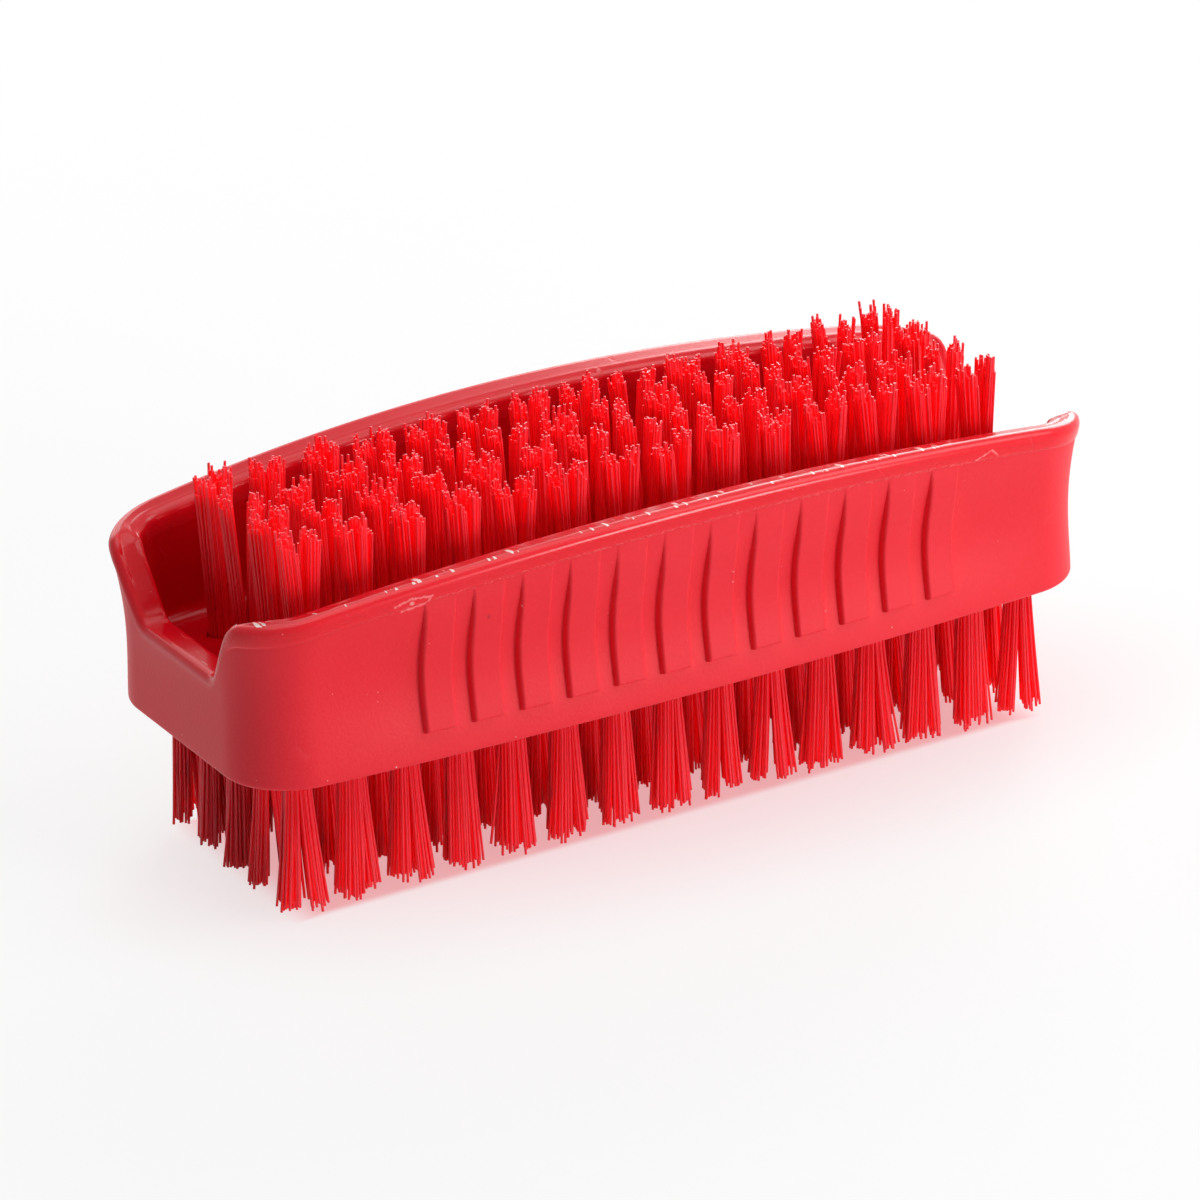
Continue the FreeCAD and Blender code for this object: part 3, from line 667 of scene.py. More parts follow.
def blockRows():
    # rows of points of one quarter, with the marks that the materials read
    base = blockLow.z
    floor = base + block["floorThickness"]
    rows = []
    marks = []

    def keep(points, **shares):
        # a share is one number, one for each row, or one for each column of each row
        for number, row in enumerate(points):
            rows.append(row)
            mark = {}
            for name, share in shares.items():
                share = np.atleast_1d(share)
                mark[name] = np.broadcast_to(share[number % len(share)], len(row))
            marks.append(mark)

    quarterTurn = np.linspace(0, math.pi / 2, roundRows)[:, None]
    top, stretch, inNotch = settle(outerWall)
    innerTop, innerStretch, innerNotch = settle(innerWall)
    innerTop = innerTop - rimShape["innerDrop"] * (1 - innerNotch)
    outerRound = rimShape["outerRound"] + (notch["outerRound"] - rimShape["outerRound"]) * inNotch
    innerRound = rimShape["innerRound"] + (notch["innerRound"] - rimShape["innerRound"]) * innerNotch

    radius = block["undersideRound"]
    keep(wallRowsOf(outerWall, base + radius * (1 - np.cos(quarterTurn)) + 0 * top,
                    radius * (1 - np.sin(quarterTurn)) + 0 * top), wall=1.0)
    fixed = list(block["footLevels"]) + [ribs["bottom"] + step for step in ribs["edgeSteps"]]
    fixed.append(fixed[-1] + 0.5 * mm)
    keep(wallRowsOf(outerWall, base + np.array(fixed)[:, None] + 0 * top, 0 * top), wall=1.0)
    shares = np.linspace(0, 1, wallRows)[1:-1, None]
    start = base + fixed[-1]
    end = top - rimShape["beadDepths"][0]
    keep(wallRowsOf(outerWall, start + (end - start) * shares, 0 * top), wall=1.0)

    depths = np.array(rimShape["beadDepths"])[:, None]
    stands = np.array(rimShape["beadStands"])[:, None] * (1 - inNotch)
    beadRim = np.array(rimShape["rimShares"])[:, None] * (1 - inNotch)
    near, far = rimShape["creaseReach"]
    alongSide = np.clip((far - outerWall(top)[0]) / (far - near), 0, 1)
    keep(wallRowsOf(outerWall, top - depths, -stands), rim=beadRim,
         crease=np.array(rimShape["creaseShares"])[:, None] * alongSide)
    beadStand = stands[-1:]
    roundLevels = top - outerRound * stretch * (1 - np.sin(quarterTurn))
    roundInsets = outerRound * (1 - np.cos(quarterTurn)) - beadStand
    outerRows = wallRowsOf(outerWall, roundLevels, roundInsets)
    onArch = 1 - inNotch
    keep(outerRows, rim=1.0, polish=inNotch,
         ridge=np.array(rimShape["ridgeShares"])[:, None] * onArch,
         brink=np.array(rimShape["brinkShares"])[:, None] * onArch,
         trough=np.array(rimShape["topShadeShares"])[:, None])

    innerLevels = innerTop - innerRound * innerStretch * (1 - np.cos(quarterTurn))
    innerInsets = -innerRound * (1 - np.sin(quarterTurn))
    innerRows = wallRowsOf(innerWall, innerLevels, innerInsets)
    shares = np.linspace(0, 1, crossRows + 2)[1:-1, None, None]
    crossing = outerRows[-1] + (innerRows[0] - outerRows[-1]) * shares
    leans = rimShape["innerDrop"] * shares[..., 0] * (1 - inNotch)
    for row, lean in zip(crossing, leans):
        row[:, 2] = rimLevel(row[:, 0], row[:, 1])[0] - lean
    keep(crossing, rim=1.0, polish=inNotch, trough=rimShape["topShadeShare"],
         brink=np.linspace(1.0, rimShape["innerBrink"], crossRows))
    keep(innerRows, rim=1.0, polish=innerNotch, trough=rimShape["topShadeShare"])

    radius = block["troughFloorRound"]
    start = innerLevels[-1:]
    end = floor + radius
    shares = np.linspace(0, 1, troughRows)[1:-1, None]
    keep(wallRowsOf(innerWall, start + (end - start) * shares, 0 * top), polish=1.0, trough=1.0)
    keep(wallRowsOf(innerWall, floor + radius * (1 - np.sin(quarterTurn)) + 0 * top,
                    radius * (1 - np.cos(quarterTurn)) + 0 * top), polish=1.0, trough=1.0)
    return np.array(rows), marks


def wholeRing(rows, mirrorX=1, mirrorY=1):
    # the quarter mirrored to a closed ring of columns, anticlockwise seen from above
    second = (rows * mirrorX)[:, ::-1][:, 1:]
    third = (rows * mirrorX * mirrorY)[:, 1:]
    fourth = (rows * mirrorY)[:, ::-1][:, 1:-1]
    return np.concatenate([rows, second, third, fourth], axis=1)


def holeOutline(centre):
    # plan outline of a tuft hole with the anchor's slit across it
    radius = tuft["holeRadius"]
    halfSlit = tuft["slitHalfWidth"]
    first = math.asin(halfSlit / radius)
    sweep = np.linspace(first, math.pi - first, tuft["holeSegments"])
    upper = [(radius * math.cos(a), radius * math.sin(a)) for a in sweep]
    tips = [(-tuft["slitHalfLength"], halfSlit), (-tuft["slitHalfLength"], -halfSlit)]
    half = upper + tips
    outline = half + [(-x, -y) for x, y in upper + tips]
    return [(centre[0] + x, centre[1] + y) for x, y in outline]


def perforatedFace(mesh, ring, centres, level, upwards):
    # flat face inside a ring of points, with a blind hole at each centre
    outlines = [holeOutline(centre) for centre in centres]
    points = [Vector((x, y)) for x, y, z in ring]
    loops = [list(range(len(points)))]
    for outline in outlines:
        loops.append(list(range(len(points), len(points) + len(outline))))
        points += [Vector(point) for point in outline]
    flat, edges, faces, *others = delaunay_2d_cdt(points, [], loops, 1, 1e-9)
    corners = [mesh.verts.new((point.x, point.y, level)) for point in flat]
    middles = np.array([sum((flat[i] for i in face), Vector((0, 0))) / 3 for face in faces])
    spots = np.array(centres)
    offset = np.abs(middles[:, None, :] - spots[None, :, :])
    inHole = (np.hypot(offset[..., 0], offset[..., 1]) < tuft["holeRadius"]) | (
        (offset[..., 0] < tuft["slitHalfLength"]) & (offset[..., 1] < tuft["slitHalfWidth"]))
    for face, hollow in zip(faces, inHole.any(axis=1)):
        if not hollow:
            mesh.faces.new([corners[i] for i in face])
    bottom = level - tuft["holeDepth"] * (1 if upwards else -1)
    for outline in outlines:
        mouth = [mesh.verts.new((x, y, level)) for x, y in outline]
        deep = [mesh.verts.new((x, y, bottom)) for x, y in outline]
        for i in range(len(outline)):
            j = (i + 1) % len(outline)
            mesh.faces.new((mouth[i], mouth[j], deep[j], deep[i]))
        mesh.faces.new(deep)


def buildBlockMesh():
    rows, marks = blockRows()
    ring = wholeRing(rows, np.array([-1, 1, 1]), np.array([1, -1, 1]))
    mesh = bmesh.new()
    names = ("wall", "crease", "rim", "ridge", "brink", "trough", "polish")
    nothing = np.zeros(len(quarter))
    shares = {name: wholeRing(np.array([mark.get(name, nothing) for mark in marks])) for name in names}
    layers = {name: mesh.verts.layers.float.new(name) for name in names}
    polishLayer = mesh.faces.layers.float.new("polished")
    grid = []
    for level, row in enumerate(ring):
        line = []
        for column, point in enumerate(row):
            corner = mesh.verts.new(point)
            for name, layer in layers.items():
                corner[layer] = shares[name][level, column]
            line.append(corner)
        grid.append(line)
    columns = len(grid[0])
    for lower, upper in zip(grid, grid[1:]):
        for i in range(columns):
            j = (i + 1) % columns
            face = mesh.faces.new((lower[i], lower[j], upper[j], upper[i]))
            face[polishLayer] = sum(corner[layers["polish"]] for corner in face.verts) / 4
    floor = blockLow.z + block["floorThickness"]
    perforatedFace(mesh, ring[0], tuftPlaces("lower"), blockLow.z, False)
    swept = set(mesh.verts)
    sweptFaces = set(mesh.faces)
    perforatedFace(mesh, ring[-1], tuftPlaces("upper"), floor, True)
    for corner in set(mesh.verts) - swept:
        corner[layers["trough"]] = 1.0
    for face in set(mesh.faces) - sweptFaces:
        face[polishLayer] = 1.0
    bmesh.ops.remove_doubles(mesh, verts=mesh.verts, dist=0.002 * mm)
    bmesh.ops.recalc_face_normals(mesh, faces=mesh.faces)
    data = bpy.data.meshes.new("mouldedBlock")
    mesh.to_mesh(data)
    mesh.free()
    return data


# Ribs are raised on the block's long sides by a tree of nodes

def makeRibTree():
    tree, given, result = startGroup("gripRibs", "GeometryNodeTree", (
        ("Geometry", "NodeSocketGeometry", None),
        ("Pitch", "NodeSocketFloat", ribs["pitch"]),
        ("Width", "NodeSocketFloat", ribs["width"]),
        ("Height", "NodeSocketFloat", ribs["height"]),
        ("Edge", "NodeSocketFloat", ribs["edge"]),
        ("Count", "NodeSocketInt", ribs["count"]),
        ("Bottom Level", "NodeSocketFloat", 0.0),
        ("Base Level", "NodeSocketFloat", 0.0),
        ("Rise", "NodeSocketFloat", block["rise"]),
        ("Material", "NodeSocketMaterial", None),
        ("Polished Material", "NodeSocketMaterial", None),
    ), (("Geometry", "NodeSocketGeometry"),))
    take = given.outputs
    split = addNode(tree, "ShaderNodeSeparateXYZ")
    feed(tree, split.inputs[0], addNode(tree, "GeometryNodeInputPosition").outputs[0])
    x, y, z = split.outputs
    cell = calc(tree, "FRACT", calc(tree, "DIVIDE", calc(tree, "ABSOLUTE", x), take["Pitch"]))
    offCell = calc(tree, "ABSOLUTE", calc(tree, "SUBTRACT", cell, 0.5))
    offCentre = calc(tree, "MULTIPLY", offCell, take["Pitch"])
    inX = calc(tree, "SUBTRACT", calc(tree, "MULTIPLY", take["Width"], 0.5), offCentre)
    inZ = calc(tree, "SUBTRACT", z, take["Bottom Level"])
    within = calc(tree, "DIVIDE", calc(tree, "MINIMUM", inX, inZ), take["Edge"], clamp=True)
    # the side of a rib rises steeply from its foot and rounds over at the top
    side = calc(tree, "SUBTRACT", 1.0, calc(tree, "POWER", calc(tree, "SUBTRACT", 1.0, within), 4.0))
    fieldHalf = calc(tree, "MULTIPLY", calc(tree, "MULTIPLY", take["Count"], 0.5), take["Pitch"])
    inField = calc(tree, "LESS_THAN", calc(tree, "ABSOLUTE", x), fieldHalf)
    share = calc(tree, "DIVIDE", calc(tree, "SUBTRACT", z, take["Base Level"]), take["Rise"])
    stand = addNode(tree, "ShaderNodeFloatCurve")
    curve = stand.mapping.curves[0]
    levels = list(zip(block["levelShares"], ribs["standShares"]))[:-1]
    for number, (level, height) in enumerate(levels):
        if number < 2:
            curve.points[number].location = (level, height)
        else:
            curve.points.new(level, height)
    stand.mapping.update()
    feed(tree, stand.inputs["Value"], share)
    onWall = addNode(tree, "GeometryNodeInputNamedAttribute", data_type="FLOAT")
    onWall.inputs["Name"].default_value = "wall"
    raised = calc(tree, "MULTIPLY", calc(tree, "MULTIPLY", side, inField), stand.outputs[0])
    amount = calc(tree, "MULTIPLY", calc(tree, "MULTIPLY", raised, take["Height"]), onWall.outputs[0])
    across = addNode(tree, "ShaderNodeCombineXYZ")
    feed(tree, across.inputs["Y"], calc(tree, "MULTIPLY", amount, calc(tree, "SIGN", y)))
    move = addNode(tree, "GeometryNodeSetPosition")
    feed(tree, move.inputs["Geometry"], take["Geometry"])
    feed(tree, move.inputs["Offset"], across.outputs[0])
    realise = addNode(tree, "GeometryNodeRealizeInstances")
    feed(tree, realise.inputs[0], move.outputs[0])
    paint = addNode(tree, "GeometryNodeSetMaterial")
    feed(tree, paint.inputs["Geometry"], realise.outputs[0])
    feed(tree, paint.inputs["Material"], take["Material"])
    polished = addNode(tree, "GeometryNodeInputNamedAttribute", data_type="FLOAT")
    polished.inputs["Name"].default_value = "polished"
    polish = addNode(tree, "GeometryNodeSetMaterial")
    feed(tree, polish.inputs["Geometry"], paint.outputs[0])
    feed(tree, polish.inputs["Selection"], calc(tree, "GREATER_THAN", polished.outputs[0], 0.5))
    feed(tree, polish.inputs["Material"], take["Polished Material"])
    feed(tree, result.inputs["Geometry"], polish.outputs[0])
    return tree


def addTree(piece, tree, **settings):
    # node modifier whose named inputs are set by their sockets' identifiers
    modifier = piece.modifiers.new(tree.name, "NODES")
    modifier.node_group = tree
    identifiers = {item.name: item.identifier for item in tree.interface.items_tree
                   if item.item_type == "SOCKET" and item.in_out == "INPUT"}
    for name, value in settings.items():
        modifier[identifiers[name.replace("_", " ")]] = value
    return modifier


def toPlainMesh(piece, modifier):
    # the evaluated result becomes the piece's own mesh, and the modifier goes
    shown = piece.evaluated_get(bpy.context.evaluated_depsgraph_get())
    data = bpy.data.meshes.new_from_object(shown, preserve_all_data_layers=True,
                                           depsgraph=bpy.context.evaluated_depsgraph_get())
    piece.modifiers.remove(modifier)
    piece.data = data
    data.name = piece.name
    return data


def addPiece(name, data):
    piece = bpy.data.objects.new(name, data)
    bpy.context.scene.collection.objects.link(piece)
    return piece


mouldedBlock = addPiece("mouldedBlock", buildBlockMesh())
ribModifier = addTree(mouldedBlock, makeRibTree(), Pitch=ribs["pitch"], Width=ribs["width"],
                      Height=ribs["height"], Edge=ribs["edge"], Count=ribs["count"],
                      Bottom_Level=blockLow.z + ribs["bottom"], Base_Level=blockLow.z, Rise=block["rise"],
                      Material=mouldedRed, Polished_Material=polishedRed)
blockMesh = toPlainMesh(mouldedBlock, ribModifier)
blockMesh.shade_smooth()
blockMesh.set_sharp_from_angle(angle=math.radians(block["sharpAngle"]))
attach(mouldedBlock, "root")
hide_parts("brush_block")
print("block made:", len(blockMesh.polygons), "faces")


# Bristles: a tree of nodes makes one line of tufts across the block

bristles = {
    "rootDepth": 2.8 * mm,
    "rootRadius": 1.52 * mm,
    "filamentRadius": 0.168 * mm,
    "sides": 6,
    "rings": 6,
    "clump": 0.55 * mm,
    "clumpWidth": 1.15 * mm,        # filaments that stand together, side by side and equally long
    "strayShare": 0.02,
    "straySway": 7.0,               # how many times further a stray sways
    "shortnessPower": 0.7,          # below 1, more filaments are short than long
    "clumpUnevenness": 0.45,
    "halfUnevenness": 0.35,
    "driftBend": 1.4,               # powers by which a filament bends away with its height
    "swayBend": 1.8,
    "sharpAngle": 78,
}
fieldShapes = {
    "lower": {"direction": -1.0, "filaments": 84, "unevenness": 0.080, "seed": 11,
              "tipRadius": 2.2 * mm, "split": 0.70 * mm, "sway": 0.20 * mm},
    "upper": {"direction": 1.0, "filaments": 84, "unevenness": 0.110, "seed": 47,
              "tipRadius": 1.75 * mm, "split": 0.95 * mm, "sway": 0.10 * mm},
}
goldenAngle = math.pi * (3 - math.sqrt(5))


def makeBristleTree():
    tree, given, result = startGroup("bristleLine", "GeometryNodeTree", (
        ("Tufts", "NodeSocketInt", 5),
        ("Pitch", "NodeSocketFloat", tuft["pitch"]),
        ("First Mouth", "NodeSocketVector", None),
        ("Direction", "NodeSocketFloat", 1.0),
        ("Free Length", "NodeSocketFloat", 0.02),
        ("Root Depth", "NodeSocketFloat", bristles["rootDepth"]),
        ("Root Radius", "NodeSocketFloat", bristles["rootRadius"]),
        ("Tip Radius", "NodeSocketFloat", 0.002),
        ("Split", "NodeSocketFloat", 0.0005),
        ("Filaments", "NodeSocketInt", 48),
        ("Filament Radius", "NodeSocketFloat", bristles["filamentRadius"]),
        ("Sides", "NodeSocketInt", bristles["sides"]),
        ("Rings", "NodeSocketInt", bristles["rings"]),
        ("Unevenness", "NodeSocketFloat", 0.06),
        ("Sway", "NodeSocketFloat", 0.0001),
        ("Clump", "NodeSocketFloat", bristles["clump"]),
        ("Clump Width", "NodeSocketFloat", bristles["clumpWidth"]),
        ("Stray Share", "NodeSocketFloat", bristles["strayShare"]),
        ("Seed", "NodeSocketInt", 1),
        ("Material", "NodeSocketMaterial", None),
    ), (("Geometry", "NodeSocketGeometry"),))
    take = given.outputs
    index = addNode(tree, "GeometryNodeInputIndex").outputs[0]

    def draw(low, high, identity, extra, kind="FLOAT"):
        node = addNode(tree, "FunctionNodeRandomValue", data_type=kind)
        sockets = {"FLOAT": (2, 3), "FLOAT_VECTOR": (0, 1)}[kind]
        feed(tree, node.inputs[sockets[0]], low)
        feed(tree, node.inputs[sockets[1]], high)
        feed(tree, node.inputs["ID"], identity)
        feed(tree, node.inputs["Seed"], calc(tree, "ADD", take["Seed"], extra))
        return node.outputs[{"FLOAT": 1, "FLOAT_VECTOR": 0}[kind]]

    def keepAs(geometry, name, value, kind="FLOAT"):
        node = addNode(tree, "GeometryNodeStoreNamedAttribute", data_type=kind, domain="POINT")
        feed(tree, node.inputs["Geometry"], geometry)
        node.inputs["Name"].default_value = name
        feed(tree, node.inputs["Value"], value)
        return node.outputs[0]

    def kept(name, kind="FLOAT"):
        node = addNode(tree, "GeometryNodeInputNamedAttribute", data_type=kind)
        node.inputs["Name"].default_value = name
        return node.outputs[0]

    # one point for each filament: its tuft, and its place in the sunflower pattern of the tuft's root
    tuftNumber = calc(tree, "FLOOR", calc(tree, "DIVIDE", calc(tree, "ADD", index, 0.5), take["Filaments"]))
    number = calc(tree, "SUBTRACT", index, calc(tree, "MULTIPLY", tuftNumber, take["Filaments"]))
    tuftTurn = draw(0.0, 2 * math.pi, tuftNumber, 1)
    angle = calc(tree, "MULTIPLY_ADD", number, goldenAngle, tuftTurn)
    outward = calc(tree, "SQRT", calc(tree, "DIVIDE", calc(tree, "ADD", number, 0.5), take["Filaments"]))
    radius = calc(tree, "MULTIPLY", outward, take["Root Radius"])
    rootOffset = addNode(tree, "ShaderNodeCombineXYZ")
    feed(tree, rootOffset.inputs["X"], calc(tree, "MULTIPLY", radius, calc(tree, "COSINE", angle)))
    feed(tree, rootOffset.inputs["Y"], calc(tree, "MULTIPLY", radius, calc(tree, "SINE", angle)))
    step = addNode(tree, "ShaderNodeCombineXYZ")
    feed(tree, step.inputs["Y"], calc(tree, "MULTIPLY", tuftNumber, take["Pitch"]))
    mouth = calcVector(tree, "ADD", take["First Mouth"], step.outputs[0])

    # tips spread from the tuft's axis, drift together in clumps, and sway singly; a few stray far
    spread = calc(tree, "SUBTRACT", calc(tree, "DIVIDE", take["Tip Radius"], take["Root Radius"]), 1.0)
    splay = scaled(tree, rootOffset.outputs[0], spread)
    tuftShift = draw((-9.0, -9.0, -9.0), (9.0, 9.0, 9.0), tuftNumber, 2, "FLOAT_VECTOR")
    clumps = addNode(tree, "ShaderNodeTexVoronoi")
    widened = scaled(tree, rootOffset.outputs[0], calc(tree, "DIVIDE", 1.0, take["Clump Width"]))
    feed(tree, clumps.inputs["Vector"], calcVector(tree, "ADD", widened, tuftShift))
    clumps.inputs["Scale"].default_value = 1.0
    clumpDraw = calcVector(tree, "SUBTRACT", clumps.outputs["Color"], (0.5, 0.5, 0.5))
    drift = scaled(tree, clumpDraw, take["Clump"])
    clumpParts = addNode(tree, "ShaderNodeSeparateXYZ")
    feed(tree, clumpParts.inputs[0], clumps.outputs["Color"])
    # the two halves of a tuft, folded over its anchor, part a little and end at levels of their own
    splitTurn = draw(-0.5, 0.5, tuftNumber, 8)
    splitLine = addNode(tree, "ShaderNodeCombineXYZ")
    feed(tree, splitLine.inputs["X"], calc(tree, "COSINE", splitTurn))
    feed(tree, splitLine.inputs["Y"], calc(tree, "SINE", splitTurn))
    side = calc(tree, "SIGN", calcVector(tree, "DOT_PRODUCT", rootOffset.outputs[0], splitLine.outputs[0]))
    sideSplit = calc(tree, "MULTIPLY", side, take["Split"])
    parting = calc(tree, "MULTIPLY", sideSplit, draw(0.4, 1.4, tuftNumber, 9))
    drift = calcVector(tree, "ADD", drift, scaled(tree, splitLine.outputs[0], parting))
    lone = draw((-1.0, -1.0, 0.0), (1.0, 1.0, 0.0), index, 3, "FLOAT_VECTOR")
    isStray = calc(tree, "LESS_THAN", draw(0.0, 1.0, index, 4), take["Stray Share"])
    swayTimes = calc(tree, "MULTIPLY_ADD", isStray, bristles["straySway"], 1.0)
    swaySize = calc(tree, "MULTIPLY", take["Sway"], swayTimes)
    sway = scaled(tree, lone, swaySize)
    shortness = calc(tree, "POWER", draw(0.0, 1.0, index, 5), bristles["shortnessPower"])
    clumpShortness = calc(tree, "MULTIPLY_ADD", clumpParts.outputs["Z"], bristles["clumpUnevenness"],
                          shortness)
    half = calc(tree, "MULTIPLY_ADD", tuftNumber, 2.0, side)
    allShortness = calc(tree, "ADD", clumpShortness, draw(0.0, bristles["halfUnevenness"], half, 6))
    shortening = calc(tree, "MULTIPLY", take["Unevenness"], -1.0)
    lengthShare = calc(tree, "MULTIPLY_ADD", allShortness, shortening, 1.0)

    points = addNode(tree, "GeometryNodePoints")
    feed(tree, points.inputs["Count"], calc(tree, "MULTIPLY", take["Tufts"], take["Filaments"]))
    cloud = keepAs(points.outputs[0], "mouth", mouth, "FLOAT_VECTOR")
    cloud = keepAs(cloud, "rootOffset", rootOffset.outputs[0], "FLOAT_VECTOR")
    cloud = keepAs(cloud, "splay", splay, "FLOAT_VECTOR")
    cloud = keepAs(cloud, "drift", drift, "FLOAT_VECTOR")
    cloud = keepAs(cloud, "sway", sway, "FLOAT_VECTOR")
    cloud = keepAs(cloud, "lengthShare", lengthShare)
    cloud = keepAs(cloud, "filamentTone", draw(0.0, 1.0, index, 7))

    # a straight unit line stands at each point, and is then bent to its place
    line = addNode(tree, "GeometryNodeCurvePrimitiveLine")
    line.inputs["End"].default_value = (0.0, 0.0, 1.0)
    ringed = addNode(tree, "GeometryNodeResampleCurve")
    feed(tree, ringed.inputs["Curve"], line.outputs[0])
    feed(tree, ringed.inputs["Count"], take["Rings"])
    stand = addNode(tree, "GeometryNodeInstanceOnPoints")
    feed(tree, stand.inputs["Points"], cloud)
    feed(tree, stand.inputs["Instance"], ringed.outputs[0])
    real = addNode(tree, "GeometryNodeRealizeInstances")
    feed(tree, real.inputs[0], stand.outputs[0])
    along = addNode(tree, "GeometryNodeSplineParameter").outputs["Factor"]
    tipHeight = calc(tree, "MULTIPLY", take["Free Length"], kept("lengthShare"))
    fullLength = calc(tree, "ADD", tipHeight, take["Root Depth"])
    height = calc(tree, "SUBTRACT", calc(tree, "MULTIPLY", along, fullLength), take["Root Depth"])
    out = calc(tree, "DIVIDE", calc(tree, "MAXIMUM", height, 0.0), take["Free Length"])
    place = calcVector(tree, "ADD", kept("mouth", "FLOAT_VECTOR"), kept("rootOffset", "FLOAT_VECTOR"))
    place = calcVector(tree, "ADD", place, scaled(tree, kept("splay", "FLOAT_VECTOR"), out))
    for name, power in (("drift", bristles["driftBend"]), ("sway", bristles["swayBend"])):
        bending = scaled(tree, kept(name, "FLOAT_VECTOR"), calc(tree, "POWER", out, power))
        place = calcVector(tree, "ADD", place, bending)
    parts = addNode(tree, "ShaderNodeSeparateXYZ")
    feed(tree, parts.inputs[0], place)
    mouthParts = addNode(tree, "ShaderNodeSeparateXYZ")
    feed(tree, mouthParts.inputs[0], kept("mouth", "FLOAT_VECTOR"))
    bent = addNode(tree, "ShaderNodeCombineXYZ")
    feed(tree, bent.inputs["X"], parts.outputs["X"])
    feed(tree, bent.inputs["Y"], parts.outputs["Y"])
    feed(tree, bent.inputs["Z"],
         calc(tree, "MULTIPLY_ADD", height, take["Direction"], mouthParts.outputs["Z"]))
    bend = addNode(tree, "GeometryNodeSetPosition")
    feed(tree, bend.inputs["Geometry"], keepAs(real.outputs[0], "alongFilament", along))
    feed(tree, bend.inputs["Position"], bent.outputs[0])

    profile = addNode(tree, "GeometryNodeCurvePrimitiveCircle")
    feed(tree, profile.inputs["Resolution"], take["Sides"])
    feed(tree, profile.inputs["Radius"], take["Filament Radius"])
    tube = addNode(tree, "GeometryNodeCurveToMesh")
    feed(tree, tube.inputs["Curve"], bend.outputs[0])
    feed(tree, tube.inputs["Profile Curve"], profile.outputs[0])
    tube.inputs["Fill Caps"].default_value = True

    # no tip passes the plane that the longest filaments are trimmed to
    now = addNode(tree, "ShaderNodeSeparateXYZ")
    feed(tree, now.inputs[0], addNode(tree, "GeometryNodeInputPosition").outputs[0])
    aboveMouth = calc(tree, "SUBTRACT", now.outputs["Z"], mouthParts.outputs["Z"])
    rise = calc(tree, "MINIMUM", calc(tree, "MULTIPLY", aboveMouth, take["Direction"]), take["Free Length"])
    trimmed = addNode(tree, "ShaderNodeCombineXYZ")
    feed(tree, trimmed.inputs["X"], now.outputs["X"])
    feed(tree, trimmed.inputs["Y"], now.outputs["Y"])
    feed(tree, trimmed.inputs["Z"],
         calc(tree, "MULTIPLY_ADD", rise, take["Direction"], mouthParts.outputs["Z"]))
    trim = addNode(tree, "GeometryNodeSetPosition")
    feed(tree, trim.inputs["Geometry"], tube.outputs[0])
    feed(tree, trim.inputs["Position"], trimmed.outputs[0])
    realise = addNode(tree, "GeometryNodeRealizeInstances")
    feed(tree, realise.inputs[0], trim.outputs[0])
    paint = addNode(tree, "GeometryNodeSetMaterial")
    feed(tree, paint.inputs["Geometry"], realise.outputs[0])
    feed(tree, paint.inputs["Material"], take["Material"])
    feed(tree, result.inputs["Geometry"], paint.outputs[0])
    return tree


bristleTree = makeBristleTree()
spentAttributes = ("mouth", "rootOffset", "splay", "drift", "sway", "lengthShare")


def makeBristleLine(field, number, node):
    shape = fieldShapes[field]
    low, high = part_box(node)
    upper = shape["direction"] > 0
    mouth = blockLow.z + block["floorThickness"] if upper else blockLow.z
    tipLevel = high.z if upper else low.z
    tufts = round((high.y - low.y) / tuft["pitch"])
    first = Vector((lineCentre(node).x, -(tufts - 1) / 2 * tuft["pitch"], mouth))
    piece = addPiece(f"{field}Bristles_{number:02d}", bpy.data.meshes.new(node))
    modifier = addTree(piece, bristleTree, Tufts=tufts, Pitch=tuft["pitch"], First_Mouth=first,
                       Direction=shape["direction"], Free_Length=abs(tipLevel - mouth),
                       Filaments=shape["filaments"], Unevenness=shape["unevenness"],
                       Tip_Radius=shape["tipRadius"], Split=shape["split"], Sway=shape["sway"],
                       Seed=shape["seed"] + 100 * number, Material=nylonRed)
    data = toPlainMesh(piece, modifier)
    for name in spentAttributes:
        spent = data.attributes.get(name)
        if spent:
            data.attributes.remove(spent)
    data.shade_smooth()
    data.set_sharp_from_angle(angle=math.radians(bristles["sharpAngle"]))
    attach(piece, "root")
    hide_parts(node)
    return len(data.polygons)


for field in fieldShapes:
    faces = 0
    for number, node in enumerate(tuftLines(field), start=1):
        faces += makeBristleLine(field, number, node)
    print(field, "bristles made:", faces, "faces")


# Anchors keep the frame's own shape

for name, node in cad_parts.items():
    if "anchors" in name:
        node.data.materials.clear()
        node.data.materials.append(drawnSteel)
print("anchors dressed")


# Floor, light and camera

studio = {
    "floorSize": 3.0,
    "floorColour": (0.86, 0.86, 0.86, 1.0),
    "floorRoughness": 0.7,
    "floorWhite": 0.77,             # share of plain white that the camera sees in the floor by the brush
    "whiteFrom": 0.10,              # distance from the middle at which the floor starts to fade to white
    "whiteTo": 0.30,
    "paintedRedBounce": (1.00, 0.82, 0.84, 1.0),   # painted red bounce light on the floor under the bristles
    "paintedRedBouncePlace": (0.007, -0.005, 0.0),
    "paintedRedBounceReach": (0.056, 0.026),
    "paintedRedBounceFade": (1.6, 0.35),       # shares of the reach between which the painted red bounce comes in
    # painted shadow, tinted red, on the floor right under the bristle tips
    "underTips": (0.95, 0.50, 0.52, 1.0),
    "paintedTipShadowReach": (0.0510, 0.0160),
    "paintedTipShadowFade": (1.04, 0.92),
    "worldStrength": 0.06,
}
lamps = {
    "keyLamp": {"place": (0.60, -0.40, 0.69), "size": 0.60, "power": 3.4},
    "topLamp": {"place": (0.0, 0.0, 1.00), "size": 1.00, "power": 4.8},
    "frontLamp": {"place": (0.44, -0.88, 0.20), "size": 0.30, "power": 4.7},
    "sideLamp": {"place": (0.70, 0.70, 0.40), "size": 0.60, "power": 5.3},
    "backLamp": {"place": (0.0, 1.00, 0.50), "size": 0.80, "power": 1.8},
}
